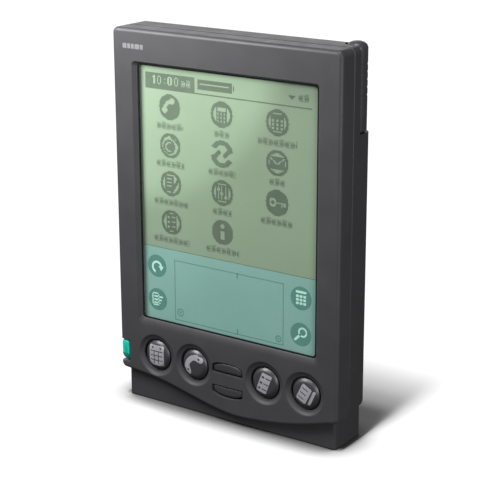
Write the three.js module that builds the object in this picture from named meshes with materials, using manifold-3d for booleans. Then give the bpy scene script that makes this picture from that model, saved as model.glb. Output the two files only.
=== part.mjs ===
// Pocket personal digital assistant, in millimetres, +Z up.
// It stands on its foot at z = 0 with the screen facing -Y; the origin is the centre of its footprint.
import * as THREE from "three";
import { mergeVertices } from "three/addons/utils/BufferGeometryUtils.js";
import Module from "manifold-3d";

const wasm = await Module();
wasm.setup();

// ---------------------------------------------------------------- driving dimensions
const WIDTH = 81;
const HEIGHT = 119;
const DEPTH = 17;
const SIDE = WIDTH / 2; // half width
const FRONT = -DEPTH / 2; // y of the front face
const BACK = DEPTH / 2; // y of the back face
const WALL = 1.6;
const FRONT_WALL = 1.8;
const SEAM_Y = -2.1; // the two case halves meet here
const SEAM_GAP = 0.3;
const CORNER_R = 1.9; // outline corners, seen from the front
const REAR_R = 3.2; // rounding all round the back
const SIDE_BOTTOM = 10; // where the wide body ends above the foot

// foot that the case stands on, narrower than the body
const FOOT_INSET = 1.7;
const FOOT_STEP = 2; // how far its front lies behind the front face
const FOOT_BACK = BACK - 0.6;
const FOOT_WALL = 1.8;
const FOOT_SIDE = SIDE - FOOT_INSET;
const FOOT_FRONT = FRONT + FOOT_STEP;

// The front panel's lower edge, the chin, from its left corner to its right one, as X and Z.
const CHIN = [
  [-38.6, 9.5],
  [-30, 8.75],
  [-22.6, 7.75],
  [-13, 5.6],
  [-4, 3.65],
  [4, 2.75],
  [12, 3.2],
  [20.5, 4.35],
  [28.7, 6.05],
  [38.6, 8.9],
];
const CHIN_STEPS = 27;
const CHIN_BACK = FRONT + 1.7; // back of the panel where it covers the foot

// screen window, and the parts behind it
const WINDOW = { left: -33.2, right: 33.4, bottom: 25.8, top: 109.3 };
const WINDOW_BEVEL = { left: 1.25, right: 1.05, bottom: 2.1, top: 0.7 };
const GASKET_LIP = 0.45; // how far the dark gasket shows inside the opening
const LIP_BACK = FRONT + 1.1; // back of the thin rim round the window
const PANEL = { side: 34.4, bottom: 24.6, top: 110.2 };
const POCKET_PLAY = 0.3;
const LCD_SIDE = 33;
const LCD_BOTTOM = 51.6;
const LCD_TOP = 109.5;

// push buttons on the front
const BUTTON_Z = 16.4;
const BUTTON_X = { date_button: -26.1, contacts_button: -11.6, tasks_button: 14.7, notes_button: 29.1 };
const BUTTON_R = 4.6;
const BUTTON_HOLE_R = 5.2;
const BUTTON_RIM_R = 7;
const RIM_DEPTH = 0.8;
const FLANGE = 0.6;
const FLANGE_Y = FRONT + FRONT_WALL + 0.2;
const SCROLL_X = 1.2;
const SCROLL_HALF = 5.4; // half width of a scroll button
const SCROLL_MID_Z = 14;
const SCROLL_NEAR = 2.3; // from the middle to the straight edge of each scroll button
const SCROLL_END = 3.9; // to its end corners
const SCROLL_FAR = 5.4; // to the top of its arch
const SLOT_PLAY = 0.35;
const POWER = { inner: -37.1, bottom: 12.1, top: 18.9, back: -3.6 };

// stylus and the silo that it stands in
const STYLUS_X = 37;
const STYLUS_Y = 5;
const STYLUS_HEAD_R = 3.1;
const STYLUS_R = 2.3;
const STYLUS_TOP = HEIGHT + 0.8;
const STYLUS_HEAD_Z = 94.3; // where the head starts
const STYLUS_TIP_Z = 17.2;
const SILO_R = 2.6;
const SILO_FLOOR = 16;
const NOTCH_Z = 94; // the silo wall is open above this
const NOTCH_FRONT = 1.5;

// battery bay, memory bay and the other openings in the back
const BAY_X = -3;
const BAY_HALF = 25.2;
const CELL_R = 5.1;
const CELL_L = 44.5;
const CELL_Y = 2.35;
const CELL_Z = [21.7, 33.1];
const BATTERY_DOOR = { half: 26.4, bottom: 14.7, top: 40.9, thick: 0.95 };
const MEMORY_DOOR = { half: 24.3, bottom: 84, y: BACK - 1 };
const DOOR_PLAY = 0.25;
const SCREWS = [[-34, 113, BACK], [28.5, 113, BACK], [-18.9, 11, FOOT_BACK], [21.9, 11, FOOT_BACK]];
const SCREW_HEAD_R = 1.9;
const RESET = { x: -30.5, z: 62, r: 1.2 };
const LABEL = { left: -25, right: 19, bottom: 48, top: 78, thick: 0.14 };
const WHEEL = { x: -34.2, y: 2, z: 84, r: 6.2, thick: 2.4 };
const DOCK = { half: 13, front: -2.2, back: 4.2 };
const BOARD = { front: -3.8, back: -2.9 };
const STACK_GAP = 0.05;

// ---------------------------------------------------------------- materials
function finish(color, roughness, metalness = 0) {
  return new THREE.MeshStandardMaterial({ color, roughness, metalness });
}
const CASE = finish(0x47474b, 0.55);
const CASE_REAR = finish(0x3a3a3d, 0.6);
const BUTTON = finish(0x2c2c2f, 0.4);
const GREEN = finish(0x19b8a0, 0.4);
const GLASS = finish(0xb9c9b4, 0.08);
const LCD = finish(0xa9bf9f, 0.3);
const TEAL = finish(0x7fb0a8, 0.4);
const GLOW = finish(0xd8e2d0, 0.6);
const TIP = finish(0x232325, 0.5);
const FOAM = finish(0x151515, 0.9);
const FRAME = finish(0x9a9c98, 0.4, 0.6);
const PCB = finish(0x1d5a34, 0.5);
const CHIP = finish(0x18181a, 0.5);
const METAL = finish(0xb8b8b4, 0.3, 1);
const RUBBER = finish(0x55565a, 0.8);
const FLEX = finish(0xb5722a, 0.4);
const CELL = finish(0x3b4a6b, 0.35, 0.3);
const BRASS = finish(0xb79a5a, 0.35, 1);
const LABEL_FINISH = finish(0x8d8f92, 0.5);

// ---------------------------------------------------------------- solid helpers
// A closed three.js geometry as a solid that can be cut and joined.
function solid(geometry) {
  const bare = geometry.clone();
  bare.deleteAttribute("normal");
  bare.deleteAttribute("uv");
  const merged = mergeVertices(bare, 1e-4);
  const vertProperties = merged.attributes.position.array;
  const triVerts = new Uint32Array(merged.index.array);
  return new wasm.Manifold(new wasm.Mesh({ numProp: 3, vertProperties, triVerts }));
}

function geometryOf(body) {
  const { vertProperties, triVerts } = body.getMesh();
  const geometry = new THREE.BufferGeometry();
  geometry.setAttribute("position", new THREE.BufferAttribute(new Float32Array(vertProperties), 3));
  geometry.setIndex(new THREE.BufferAttribute(new Uint32Array(triVerts), 1));
  geometry.computeVertexNormals();
  return geometry;
}

const part = new THREE.Group();
function add(name, body, material) {
  const mesh = new THREE.Mesh(geometryOf(body), material);
  mesh.name = name;
  part.add(mesh);
}

function box(x0, x1, y0, y1, z0, z1) {
  const geometry = new THREE.BoxGeometry(x1 - x0, y1 - y0, z1 - z0);
  return solid(geometry.translate((x0 + x1) / 2, (y0 + y1) / 2, (z0 + z1) / 2));
}

// A box whose face at y0 is bigger than the one at y1, by its own margin on each side.
function taperedBox(x0, x1, y0, y1, z0, z1, margin) {
  const geometry = new THREE.BoxGeometry(x1 - x0, y1 - y0, z1 - z0);
  geometry.translate((x0 + x1) / 2, (y0 + y1) / 2, (z0 + z1) / 2);
  const p = geometry.attributes.position;
  const middle = (y0 + y1) / 2;
  for (let i = 0; i < p.count; i++) {
    if (p.getY(i) < middle) continue;
    p.setX(i, p.getX(i) < (x0 + x1) / 2 ? x0 + margin.left : x1 - margin.right);
    p.setZ(i, p.getZ(i) < (z0 + z1) / 2 ? z0 + margin.bottom : z1 - margin.top);
  }
  return solid(geometry);
}

// An outline in X and Z, extruded along Y, with both ends rounded by the bevel.
function plate(shape, y0, y1, bevel = 0, bevelSegments = 3, curveSegments = 5) {
  const geometry = new THREE.ExtrudeGeometry(shape, {
    depth: y1 - y0 - 2 * bevel,
    bevelEnabled: bevel > 0,
    bevelThickness: bevel,
    bevelSize: bevel,
    bevelOffset: -bevel,
    bevelSegments,
    curveSegments,
  });
  return solid(geometry.rotateX(Math.PI / 2).translate(0, y1 - bevel, 0));
}

// An outline in X and Y, extruded along Z.
function column(shape, z0, z1, curveSegments = 5) {
  const geometry = new THREE.ExtrudeGeometry(shape, { depth: z1 - z0, bevelEnabled: false, curveSegments });
  return solid(geometry.translate(0, 0, z0));
}

// An outline in Y and Z, extruded along X.
function slab(shape, x0, x1, curveSegments = 5) {
  const geometry = new THREE.ExtrudeGeometry(shape, { depth: x1 - x0, bevelEnabled: false, curveSegments });
  const x = new THREE.Vector3(1, 0, 0);
  const y = new THREE.Vector3(0, 1, 0);
  const z = new THREE.Vector3(0, 0, 1);
  geometry.applyMatrix4(new THREE.Matrix4().makeBasis(y, z, x));
  return solid(geometry.translate(x0, 0, 0));
}

function roundedRect(x0, x1, z0, z1, r) {
  const s = new THREE.Shape();
  s.moveTo(x0 + r, z0);
  s.lineTo(x1 - r, z0);
  s.absarc(x1 - r, z0 + r, r, -Math.PI / 2, 0);
  s.lineTo(x1, z1 - r);
  s.absarc(x1 - r, z1 - r, r, 0, Math.PI / 2);
  s.lineTo(x0 + r, z1);
  s.absarc(x0 + r, z1 - r, r, Math.PI / 2, Math.PI);
  s.lineTo(x0, z0 + r);
  s.absarc(x0 + r, z0 + r, r, Math.PI, 1.5 * Math.PI);
  return s;
}

// A round bar or cone along Y; r0 is its radius at y0 and r1 at y1.
function barY(x, z, r0, r1, y0, y1, segments = 28) {
  const geometry = new THREE.CylinderGeometry(r1, r0, y1 - y0, segments);
  return solid(geometry.translate(x, (y0 + y1) / 2, z));
}

function barX(y, z, r0, r1, x0, x1, segments = 24) {
  const geometry = new THREE.CylinderGeometry(r1, r0, x1 - x0, segments);
  return solid(geometry.rotateZ(-Math.PI / 2).translate((x0 + x1) / 2, y, z));
}

function barZ(x, y, r0, r1, z0, z1, segments = 24) {
  const geometry = new THREE.CylinderGeometry(r1, r0, z1 - z0, segments);
  return solid(geometry.rotateX(Math.PI / 2).translate(x, y, (z0 + z1) / 2));
}

const joined = (first, ...rest) => rest.reduce((all, next) => all.add(next), first);
const cut = (first, ...rest) => rest.reduce((all, next) => all.subtract(next), first);

// ---------------------------------------------------------------- outlines that several pieces share
// The chin from left to right, and anything that follows it from `rise` above.
function chinLine(shape, rise = 0, left = CHIN[0][0], right = CHIN.at(-1)[0]) {
  const curve = new THREE.SplineCurve(CHIN.map(([x, z]) => new THREE.Vector2(x, z)));
  const within = curve.getPoints(CHIN_STEPS).filter((p) => p.x > left && p.x < right);
  for (const p of within) shape.lineTo(p.x, p.y + rise);
}

// The slope of the chin between two of its points, as an angle.
function chinSlope([x0, z0], [x1, z1]) {
  return Math.atan2(z1 - z0, x1 - x0);
}

// The lower corner arcs meet the chin at its own slope.
function frontOutline() {
  const r = CORNER_R;
  const left = chinSlope(CHIN[0], CHIN[1]);
  const right = chinSlope(CHIN.at(-2), CHIN.at(-1));
  const leftCentre = CHIN[0][1] + r * Math.cos(left);
  const rightCentre = CHIN.at(-1)[1] + r * Math.cos(right);
  const s = new THREE.Shape();
  s.moveTo(SIDE, rightCentre);
  s.lineTo(SIDE, HEIGHT - r);
  s.absarc(SIDE - r, HEIGHT - r, r, 0, Math.PI / 2);
  s.lineTo(-SIDE + r, HEIGHT);
  s.absarc(-SIDE + r, HEIGHT - r, r, Math.PI / 2, Math.PI);
  s.lineTo(-SIDE, leftCentre);
  s.absarc(-SIDE + r, leftCentre, r, Math.PI, 1.5 * Math.PI + left);
  chinLine(s);
  s.absarc(SIDE - r, rightCentre, r, 1.5 * Math.PI + right, 2 * Math.PI);
  return s;
}

// The hollow inside both halves of the case.
function insideOutline() {
  return roundedRect(-SIDE + WALL, SIDE - WALL, SIDE_BOTTOM + WALL, HEIGHT - WALL, 1);
}

// A scroll button's outline: straight on the side nearest the middle, arched on the other.
function scrollOutline(side, play) {
  const half = SCROLL_HALF + play;
  const z = (offset) => SCROLL_MID_Z + side * offset;
  const s = new THREE.Shape();
  s.moveTo(SCROLL_X - side * half, z(SCROLL_NEAR - play));
  s.lineTo(SCROLL_X + side * half, z(SCROLL_NEAR - play));
  s.lineTo(SCROLL_X + side * half, z(SCROLL_END + play));
  const crest = 2 * SCROLL_FAR - SCROLL_END + play;
  s.quadraticCurveTo(SCROLL_X, z(crest), SCROLL_X - side * half, z(SCROLL_END + play));
  return s;
}

// ---------------------------------------------------------------- front case
function frontCase() {
  const seam = SEAM_Y - SEAM_GAP / 2;
  const deep = 30;
  let shell = plate(frontOutline(), FRONT, FRONT + deep, 1.2, 5, 6);
  shell = cut(shell, box(-50, 50, seam, FRONT + deep + 1, -1, HEIGHT + 1));
  shell = cut(shell, plate(insideOutline(), FRONT + FRONT_WALL, 1, 0, 1, 3));
  // room for the foot, behind the chin
  const play = 0.4;
  const notch = box(-FOOT_SIDE - play, FOOT_SIDE + play, CHIN_BACK, 1, -1, SIDE_BOTTOM + WALL + 1.4);
  shell = cut(shell, notch);
  // posts that the screws bite into, joined to the front wall
  for (const [x, z] of SCREWS) {
    const top = z > HEIGHT / 2 ? FRONT + FRONT_WALL - 0.2 : CHIN_BACK - 0.2;
    shell = shell.add(barY(x, z, 2.2, 2.2, top, BOARD.front - 0.4, 16));
    shell = shell.subtract(barY(x, z, 1.1, 1.1, FRONT + FRONT_WALL + 0.3, 0, 12));
  }
  // window with a sloping rim, and the pocket behind it
  const w = WINDOW;
  const b = WINDOW_BEVEL;
  const pocket = PANEL.side + POCKET_PLAY;
  shell = cut(
    shell,
    taperedBox(w.left, w.right, FRONT, LIP_BACK, w.bottom, w.top, b),
    box(w.left + b.left, w.right - b.right, LIP_BACK - 0.1, FRONT + 4, w.bottom + b.bottom, w.top - b.top),
    box(-pocket, pocket, LIP_BACK, FRONT + 4, PANEL.bottom - POCKET_PLAY, PANEL.top + POCKET_PLAY),
  );
  // round button holes with a chamfered rim
  for (const x of Object.values(BUTTON_X)) {
    shell = cut(
      shell,
      barY(x, BUTTON_Z, BUTTON_HOLE_R, BUTTON_HOLE_R, FRONT - 1, FRONT + 3),
      barY(x, BUTTON_Z, BUTTON_RIM_R + 0.1, BUTTON_HOLE_R, FRONT - 0.1, FRONT + RIM_DEPTH),
    );
  }
  shell = cut(shell, ...[1, -1].map((side) => plate(scrollOutline(side, SLOT_PLAY), FRONT - 1, FRONT + 3)));
  // corner notch for the power button
  const p = POWER;
  const low = p.bottom - SLOT_PLAY;
  const high = p.top + SLOT_PLAY;
  return cut(shell, box(-SIDE - 1, p.inner + SLOT_PLAY, FRONT - 1, p.back + 0.5, low, high));
}
add("front_case", frontCase(), CASE);

// ---------------------------------------------------------------- rear case with the foot
// Its edges are rounded by the meeting of three outlines, seen from the front, the side and the top.
function rearBody() {
  const fore = -BACK;
  const face = plate(roundedRect(-SIDE, SIDE, SIDE_BOTTOM, HEIGHT, CORNER_R), SEAM_Y + SEAM_GAP / 2, BACK);
  const side = slab(roundedRect(fore, BACK, SIDE_BOTTOM, HEIGHT, REAR_R), -SIDE, SIDE);
  const top = column(roundedRect(-SIDE, SIDE, fore, BACK, REAR_R), SIDE_BOTTOM, HEIGHT);
  return face.intersect(side).intersect(top);
}

function footBody() {
  return column(roundedRect(-FOOT_SIDE, FOOT_SIDE, FOOT_FRONT, FOOT_BACK, 1.2), 0, SIDE_BOTTOM + 3.5);
}

// The foot's front wall stops just above the chin, so that the buttons have room behind the panel.
function footTrim() {
  const s = new THREE.Shape();
  const top = SIDE_BOTTOM + 6;
  s.moveTo(-50, SIDE_BOTTOM + 1.2);
  chinLine(s, 1.3);
  s.lineTo(50, SIDE_BOTTOM + 1.2);
  s.lineTo(50, top);
  s.lineTo(-50, top);
  return plate(s, FOOT_FRONT - 1, SEAM_Y + SEAM_GAP / 2);
}

function siloCuts() {
  const x = STYLUS_X;
  const y = STYLUS_Y;
  const far = HEIGHT + 2;
  const scoop = box(x - 0.6, SIDE + 2, NOTCH_FRONT, BACK + 4, NOTCH_Z, far);
  const rearScoop = box(x - 3.2, SIDE + 2, y, BACK + 4, NOTCH_Z, far);
  return [
    barZ(x, y, SILO_R, SILO_R, SILO_FLOOR, NOTCH_Z + 1, 20),
    barZ(x, y, STYLUS_HEAD_R + 0.35, STYLUS_HEAD_R + 0.35, NOTCH_Z, far, 20),
    scoop,
    rearScoop,
  ];
}

function rearCase() {
  const outer = rearBody();
  let shell = joined(outer, footBody());
  const seam = SEAM_Y + SEAM_GAP / 2;
  shell = cut(shell, plate(insideOutline(), seam - 1, BACK - WALL, 0, 1, 3));
  const footHalf = FOOT_SIDE - FOOT_WALL;
  const footTop = SIDE_BOTTOM + 1.7;
  const footRoom = box(-footHalf, footHalf, FOOT_FRONT + 1.5, FOOT_BACK - FOOT_WALL, FOOT_WALL, footTop);
  shell = cut(shell, footRoom, footTrim());
  // posts, bay walls and the silo are added inside the outer skin, then opened
  const d = BATTERY_DOOR;
  const bayOut = box(BAY_X - BAY_HALF - 1.2, BAY_X + BAY_HALF + 1.2, -2.6, BACK - WALL + 0.1, 14.2, 41.4);
  const bayIn = box(BAY_X - BAY_HALF, BAY_X + BAY_HALF, -3, BACK + 1, 15.6, 40);
  const m = MEMORY_DOOR;
  const padHalf = m.half + 1.5;
  const padTop = HEIGHT - WALL;
  const memoryPad = box(BAY_X - padHalf, BAY_X + padHalf, m.y - 1.6, BACK - 0.5, m.bottom - 1.8, padTop);
  const silo = box(STYLUS_X - 4.4, SIDE - 0.2, NOTCH_FRONT - 0.6, BACK - 0.3, SILO_FLOOR - 2, HEIGHT - 0.3);
  const added = joined(bayOut.subtract(bayIn), memoryPad.intersect(outer), silo.intersect(outer));
  shell = shell.add(added);
  for (const [x, z, back] of SCREWS) {
    shell = shell.add(barY(x, z, 2.9, 2.9, 0.2, back - 1, 16));
    shell = cut(shell, barY(x, z, SCREW_HEAD_R + 0.35, SCREW_HEAD_R + 0.35, back - 3, BACK + 1, 20));
    shell = cut(shell, barY(x, z, 1.3, 1.3, -0.5, back, 12));
  }
  shell = shell.add(barY(RESET.x, RESET.z, 2.6, 2.6, 3, BACK - 0.8, 16));
  shell = cut(shell, barY(RESET.x, RESET.z, RESET.r + 0.25, RESET.r + 0.25, 2, BACK - WALL, 16));
  shell = cut(shell, barY(RESET.x, RESET.z, 0.8, 0.8, 2, BACK + 1, 12));
  shell = cut(shell, ...siloCuts());
  // battery door: a stepped opening
  const doorHalf = d.half + DOOR_PLAY;
  const doorBack = BACK - d.thick - 0.1;
  shell = cut(
    shell,
    box(BAY_X - doorHalf, BAY_X + doorHalf, doorBack, BACK + 1, d.bottom - DOOR_PLAY, d.top + DOOR_PLAY),
    box(BAY_X - BAY_HALF, BAY_X + BAY_HALF, 5, BACK + 1, 15.6, 40),
  );
  // memory door: a track open at the top, with the bay behind it
  const trackHalf = m.half + DOOR_PLAY;
  shell = cut(
    shell,
    box(BAY_X - trackHalf, BAY_X + trackHalf, m.y - 0.1, BACK + 1, m.bottom - DOOR_PLAY, HEIGHT + 1),
    box(BAY_X - m.half + 3, BAY_X + m.half - 3, 4, BACK + 1, m.bottom + 3, HEIGHT - 5),
  );
  // label recess
  const l = LABEL;
  const labelBack = BACK - l.thick - 0.06;
  shell = cut(shell, box(l.left - 0.3, l.right + 0.3, labelBack, BACK + 1, l.bottom - 0.3, l.top + 0.3));
  // contrast wheel: a thumb scoop and the slot that its edge shows through
  const w = WHEEL;
  const slotHalf = w.thick / 2 + 0.4;
  const slotReach = w.r + 0.7;
  const slot = box(-SIDE - 1, w.x, w.y - slotHalf, w.y + slotHalf, w.z - slotReach, w.z + slotReach);
  const thumbR = 13;
  const thumb = barY(-SIDE - thumbR + 1.2, w.z, thumbR, thumbR, w.y - w.thick, w.y + w.thick, 60);
  shell = cut(shell, slot, thumb);
  // dock connector mouth in the underside
  return cut(shell, box(-DOCK.half, DOCK.half, DOCK.front, DOCK.back, -1, FOOT_WALL + 0.1));
}
add("rear_case", rearCase(), CASE_REAR);

function memoryDoor() {
  const m = MEMORY_DOOR;
  const skin = rearBody().intersect(box(BAY_X - m.half, BAY_X + m.half, m.y, BACK + 1, m.bottom, HEIGHT + 1));
  // grip grooves near its lower end
  const grip = (z) => box(BAY_X - 7, BAY_X + 7, BACK - 0.4, BACK + 1, z, z + 0.8);
  return cut(skin, ...[0, 1, 2, 3].map((i) => grip(m.bottom + 4 + i * 1.8)));
}
add("memory_door", memoryDoor(), CASE_REAR);

function batteryDoor() {
  const d = BATTERY_DOOR;
  const outline = roundedRect(BAY_X - d.half, BAY_X + d.half, d.bottom, d.top, 1.2);
  const panel = plate(outline, BACK - d.thick, BACK);
  const latch = box(BAY_X - 6, BAY_X + 6, BACK - 0.5, BACK + 1, d.top - 5.5, d.top - 1.5);
  return cut(panel, latch);
}
add("battery_door", batteryDoor(), CASE_REAR);

// ---------------------------------------------------------------- display stack
const panelFront = LIP_BACK + 0.4;
const panelBack = panelFront + 0.8;
const lcdFront = panelBack + 0.1;
const lcdBack = lcdFront + 1.4;
const frameBack = BOARD.front - 0.2;
const w = WINDOW;
const b = WINDOW_BEVEL;

function gasket() {
  const y0 = LIP_BACK + STACK_GAP;
  const y1 = panelFront - STACK_GAP;
  const ring = box(-PANEL.side, PANEL.side, y0, y1, PANEL.bottom, PANEL.top);
  const g = GASKET_LIP;
  const left = w.left + b.left + g;
  const right = w.right - b.right - g;
  const opening = roundedRect(left, right, w.bottom + b.bottom + g, w.top - b.top - g, 1.1);
  return ring.subtract(plate(opening, y0 - 1, y1 + 1));
}
add("window_gasket", gasket(), FOAM);
add("touch_panel", box(-PANEL.side, PANEL.side, panelFront, panelBack, PANEL.bottom, PANEL.top), GLASS);
add("lcd_cell", box(-LCD_SIDE, LCD_SIDE, lcdFront, lcdBack, LCD_BOTTOM, LCD_TOP), LCD);
const sheetSide = LCD_SIDE + 0.3;
add("writing_area_sheet", box(-sheetSide, sheetSide, lcdFront, lcdFront + 0.3, 26, LCD_BOTTOM - 0.2), TEAL);
const glowFront = lcdBack + STACK_GAP;
add("backlight_sheet", box(-LCD_SIDE, LCD_SIDE, glowFront, lcdBack + 0.4, LCD_BOTTOM, LCD_TOP), GLOW);

const RIBBON_HALF = 15;
function displayFrame() {
  const body = box(-PANEL.side, PANEL.side, lcdFront, frameBack, PANEL.bottom + 0.2, PANEL.top);
  const fore = lcdFront - 1;
  const aft = frameBack + 1;
  return cut(
    body,
    box(-LCD_SIDE - 0.2, LCD_SIDE + 0.2, fore, lcdBack + 0.5, LCD_BOTTOM - 0.2, LCD_TOP + 0.2),
    box(-LCD_SIDE + 2, LCD_SIDE - 2, fore, aft, LCD_BOTTOM + 2, LCD_TOP - 2),
    box(-LCD_SIDE - 0.5, LCD_SIDE + 0.5, fore, lcdFront + 0.35, 25.8, LCD_BOTTOM),
    box(-RIBBON_HALF - 1, RIBBON_HALF + 1, fore, aft, LCD_BOTTOM - 6.3, LCD_BOTTOM + 0.1),
  );
}
add("display_frame", displayFrame(), FRAME);

// flat cable from the lower edge of the display, through the frame, to the board
function displayRibbon() {
  const y0 = lcdFront + 0.8;
  const y1 = BOARD.front - 0.1;
  const top = LCD_BOTTOM - 0.3;
  const t = 0.2;
  const s = new THREE.Shape();
  s.moveTo(y0, top);
  s.lineTo(y0, top - 1.2);
  s.lineTo(y1 - t, top - 3);
  s.lineTo(y1 - t, top - 5.5);
  s.lineTo(y1, top - 5.5);
  s.lineTo(y1, top - 3 + t);
  s.lineTo(y0 + t, top - 1.2 + t);
  s.lineTo(y0 + t, top);
  return slab(s, -RIBBON_HALF, RIBBON_HALF);
}
add("display_ribbon", displayRibbon(), FLEX);

// ---------------------------------------------------------------- board and what is on it
function mainBoard() {
  let board = box(-36.8, 36.8, BOARD.front, BOARD.back, 13.4, 116.5);
  for (const [x, z] of SCREWS) board = board.subtract(barY(x, z, 3.2, 3.2, -6, 0, 16));
  return board;
}
add("main_board", mainBoard(), PCB);
const onBoard = BOARD.back + STACK_GAP;
add("processor_chip", box(-15, 1, onBoard, onBoard + 1.4, 54, 70), CHIP);
add("backup_capacitor", barY(14, 55, 4.2, 4.2, onBoard, onBoard + 5, 24), METAL);
add("crystal_can", plate(roundedRect(8, 18, 66, 69.6, 1.7), onBoard, onBoard + 3), METAL);
add("memory_socket", box(BAY_X - 19.5, BAY_X + 19.5, onBoard, 4.4, 78.6, 81.6), CHIP);
add("memory_card", box(BAY_X - 19, BAY_X + 19, 1.6, 2.6, 81.7, 112), PCB);
[-9.5, 9.5].forEach((x, i) => {
  const chip = box(BAY_X + x - 7, BAY_X + x + 7, 2.65, 3.8, 88, 106);
  add(`memory_chip_${i + 1}`, chip, CHIP);
});
add("speaker_disc", barY(6, 52, 9, 9, BACK - WALL - 0.8, BACK - WALL - 0.05, 32), BRASS);

// ---------------------------------------------------------------- buttons
function keypadSheet() {
  const s = new THREE.Shape();
  const left = -33.5;
  const right = 36;
  s.moveTo(right, 23.6);
  s.lineTo(left, 23.6);
  chinLine(s, 1.7, left, right);
  const sheet = plate(s, -5.1, -4.1);
  return cut(sheet, ...SCREWS.slice(2).map(([x, z]) => barY(x, z, 2.6, 2.6, -6, 0, 16)));
}
add("keypad_sheet", keypadSheet(), RUBBER);

// A round button: a domed cap on a wider flange that stops it behind the panel.
function roundButton(x) {
  const r = BUTTON_R;
  const edge = 1;
  const top = FRONT + 0.15;
  const profile = [
    [0, top],
    [r - edge, top + 0.1],
    [r - 0.3, top + 0.4],
    [r, top + edge],
    [r, FLANGE_Y],
    [r + edge, FLANGE_Y],
    [r + edge, FLANGE_Y + FLANGE],
    [0, FLANGE_Y + FLANGE],
  ];
  const points = profile.map(([radius, y]) => new THREE.Vector2(radius, y));
  points.push(points[0].clone());
  return solid(new THREE.LatheGeometry(points, 28).translate(x, 0, BUTTON_Z));
}
for (const [name, x] of Object.entries(BUTTON_X)) add(name, roundButton(x), BUTTON);

function scrollButton(side) {
  const cap = plate(scrollOutline(side, 0), FRONT + 0.25, FLANGE_Y + 0.1);
  const grow = 0.7;
  const flange = plate(scrollOutline(side, grow), FLANGE_Y, FLANGE_Y + FLANGE);
  return cap.add(flange);
}
add("scroll_up_button", scrollButton(1), BUTTON);
add("scroll_down_button", scrollButton(-1), BUTTON);

// The power button fills a notch in the lower left edge, so it shows from the front and the side.
function powerButton() {
  const p = POWER;
  const outline = roundedRect(-SIDE + 0.35, p.inner, p.bottom, p.top, 0.8);
  const head = plate(outline, FRONT + 0.1, p.back - 0.6, 0.5, 2);
  const stem = box(-39.6, p.inner - 0.3, p.back - 1.4, p.back - 0.4, p.bottom + 0.8, p.top - 0.8);
  return head.add(stem);
}
add("power_button", powerButton(), GREEN);

// ---------------------------------------------------------------- contrast control
function contrastWheel() {
  const c = WHEEL;
  const rim = barY(c.x, c.z, c.r, c.r, c.y - c.thick / 2, c.y + c.thick / 2, 40);
  const pin = barY(c.x, c.z, 1.5, 1.5, -2.2, c.y, 24);
  return rim.add(pin);
}
add("contrast_wheel", contrastWheel(), BUTTON);

function contrastPot() {
  const c = WHEEL;
  const body = barY(c.x, c.z, 2.6, 2.6, onBoard, c.y - c.thick / 2 - 0.3, 24);
  return body.subtract(barY(c.x, c.z, 1.56, 1.56, -2.4, c.y, 24));
}
add("contrast_pot", contrastPot(), METAL);

// ---------------------------------------------------------------- stylus
function turnedZ(profile, segments = 24) {
  const points = profile.map(([r, z]) => new THREE.Vector2(r, z));
  points.push(points[0].clone());
  const geometry = new THREE.LatheGeometry(points, segments).rotateX(Math.PI / 2);
  return solid(geometry.translate(STYLUS_X, STYLUS_Y, 0));
}
const headR = STYLUS_HEAD_R;
const headEdge = 0.3;
add("stylus_head", turnedZ([
  [0, STYLUS_HEAD_Z],
  [headR - headEdge, STYLUS_HEAD_Z],
  [headR, STYLUS_HEAD_Z + headEdge],
  [headR, STYLUS_TOP - 0.8],
  [headR - 0.8, STYLUS_TOP],
  [0, STYLUS_TOP],
]), BUTTON);
add("stylus_barrel", turnedZ([
  [0, STYLUS_TIP_Z + 9],
  [STYLUS_R - 0.3, STYLUS_TIP_Z + 9],
  [STYLUS_R, STYLUS_TIP_Z + 12],
  [STYLUS_R, STYLUS_HEAD_Z - STACK_GAP],
  [0, STYLUS_HEAD_Z - STACK_GAP],
]), BUTTON);
add("stylus_tip", turnedZ([
  [0, STYLUS_TIP_Z],
  [0.5, STYLUS_TIP_Z + 0.3],
  [STYLUS_R - 0.5, STYLUS_TIP_Z + 7],
  [STYLUS_R - 0.5, STYLUS_TIP_Z + 9 - STACK_GAP],
  [0, STYLUS_TIP_Z + 9 - STACK_GAP],
], 20), TIP);

// ---------------------------------------------------------------- power supply
const springL = 2 * BAY_HALF - CELL_L - 1.1;
function cell(x0, z, direction) {
  const nub = 1;
  const from = direction > 0 ? x0 : x0 + nub;
  const body = barX(CELL_Y, z, CELL_R, CELL_R, from, from + CELL_L - nub);
  const nubX = direction > 0 ? x0 + CELL_L - nub - 0.1 : x0;
  return body.add(barX(CELL_Y, z, 1.9, 1.9, nubX, nubX + nub + 0.1, 16));
}
const plateX = BAY_HALF - 0.1;
const plateT = 0.4;
const lowerX = BAY_X - plateX + plateT + 0.05 + springL + 0.05;
const upperX = BAY_X - plateX + plateT + 0.05;
add("battery_lower", cell(lowerX, CELL_Z[0], 1), CELL);
add("battery_upper", cell(upperX, CELL_Z[1], -1), CELL);
const spring = (x0, z, r0, r1) => barX(CELL_Y, z, r0, r1, x0, x0 + springL, 20);
add("battery_spring_lower", spring(lowerX - 0.05 - springL, CELL_Z[0], 3.4, 2), METAL);
add("battery_spring_upper", spring(upperX + CELL_L + 0.05, CELL_Z[1], 2, 3.4), METAL);
const contact = (x, z0, z1) => box(x, x + plateT, CELL_Y - 4, CELL_Y + 4, z0, z1);
add("contact_minus", contact(BAY_X - plateX, CELL_Z[0] - 4, CELL_Z[0] + 4), METAL);
add("contact_plus", contact(BAY_X - plateX, CELL_Z[1] - 4, CELL_Z[1] + 4), METAL);
add("contact_bridge", contact(BAY_X + plateX - plateT, CELL_Z[0] - 4, CELL_Z[1] + 4), METAL);

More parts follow.
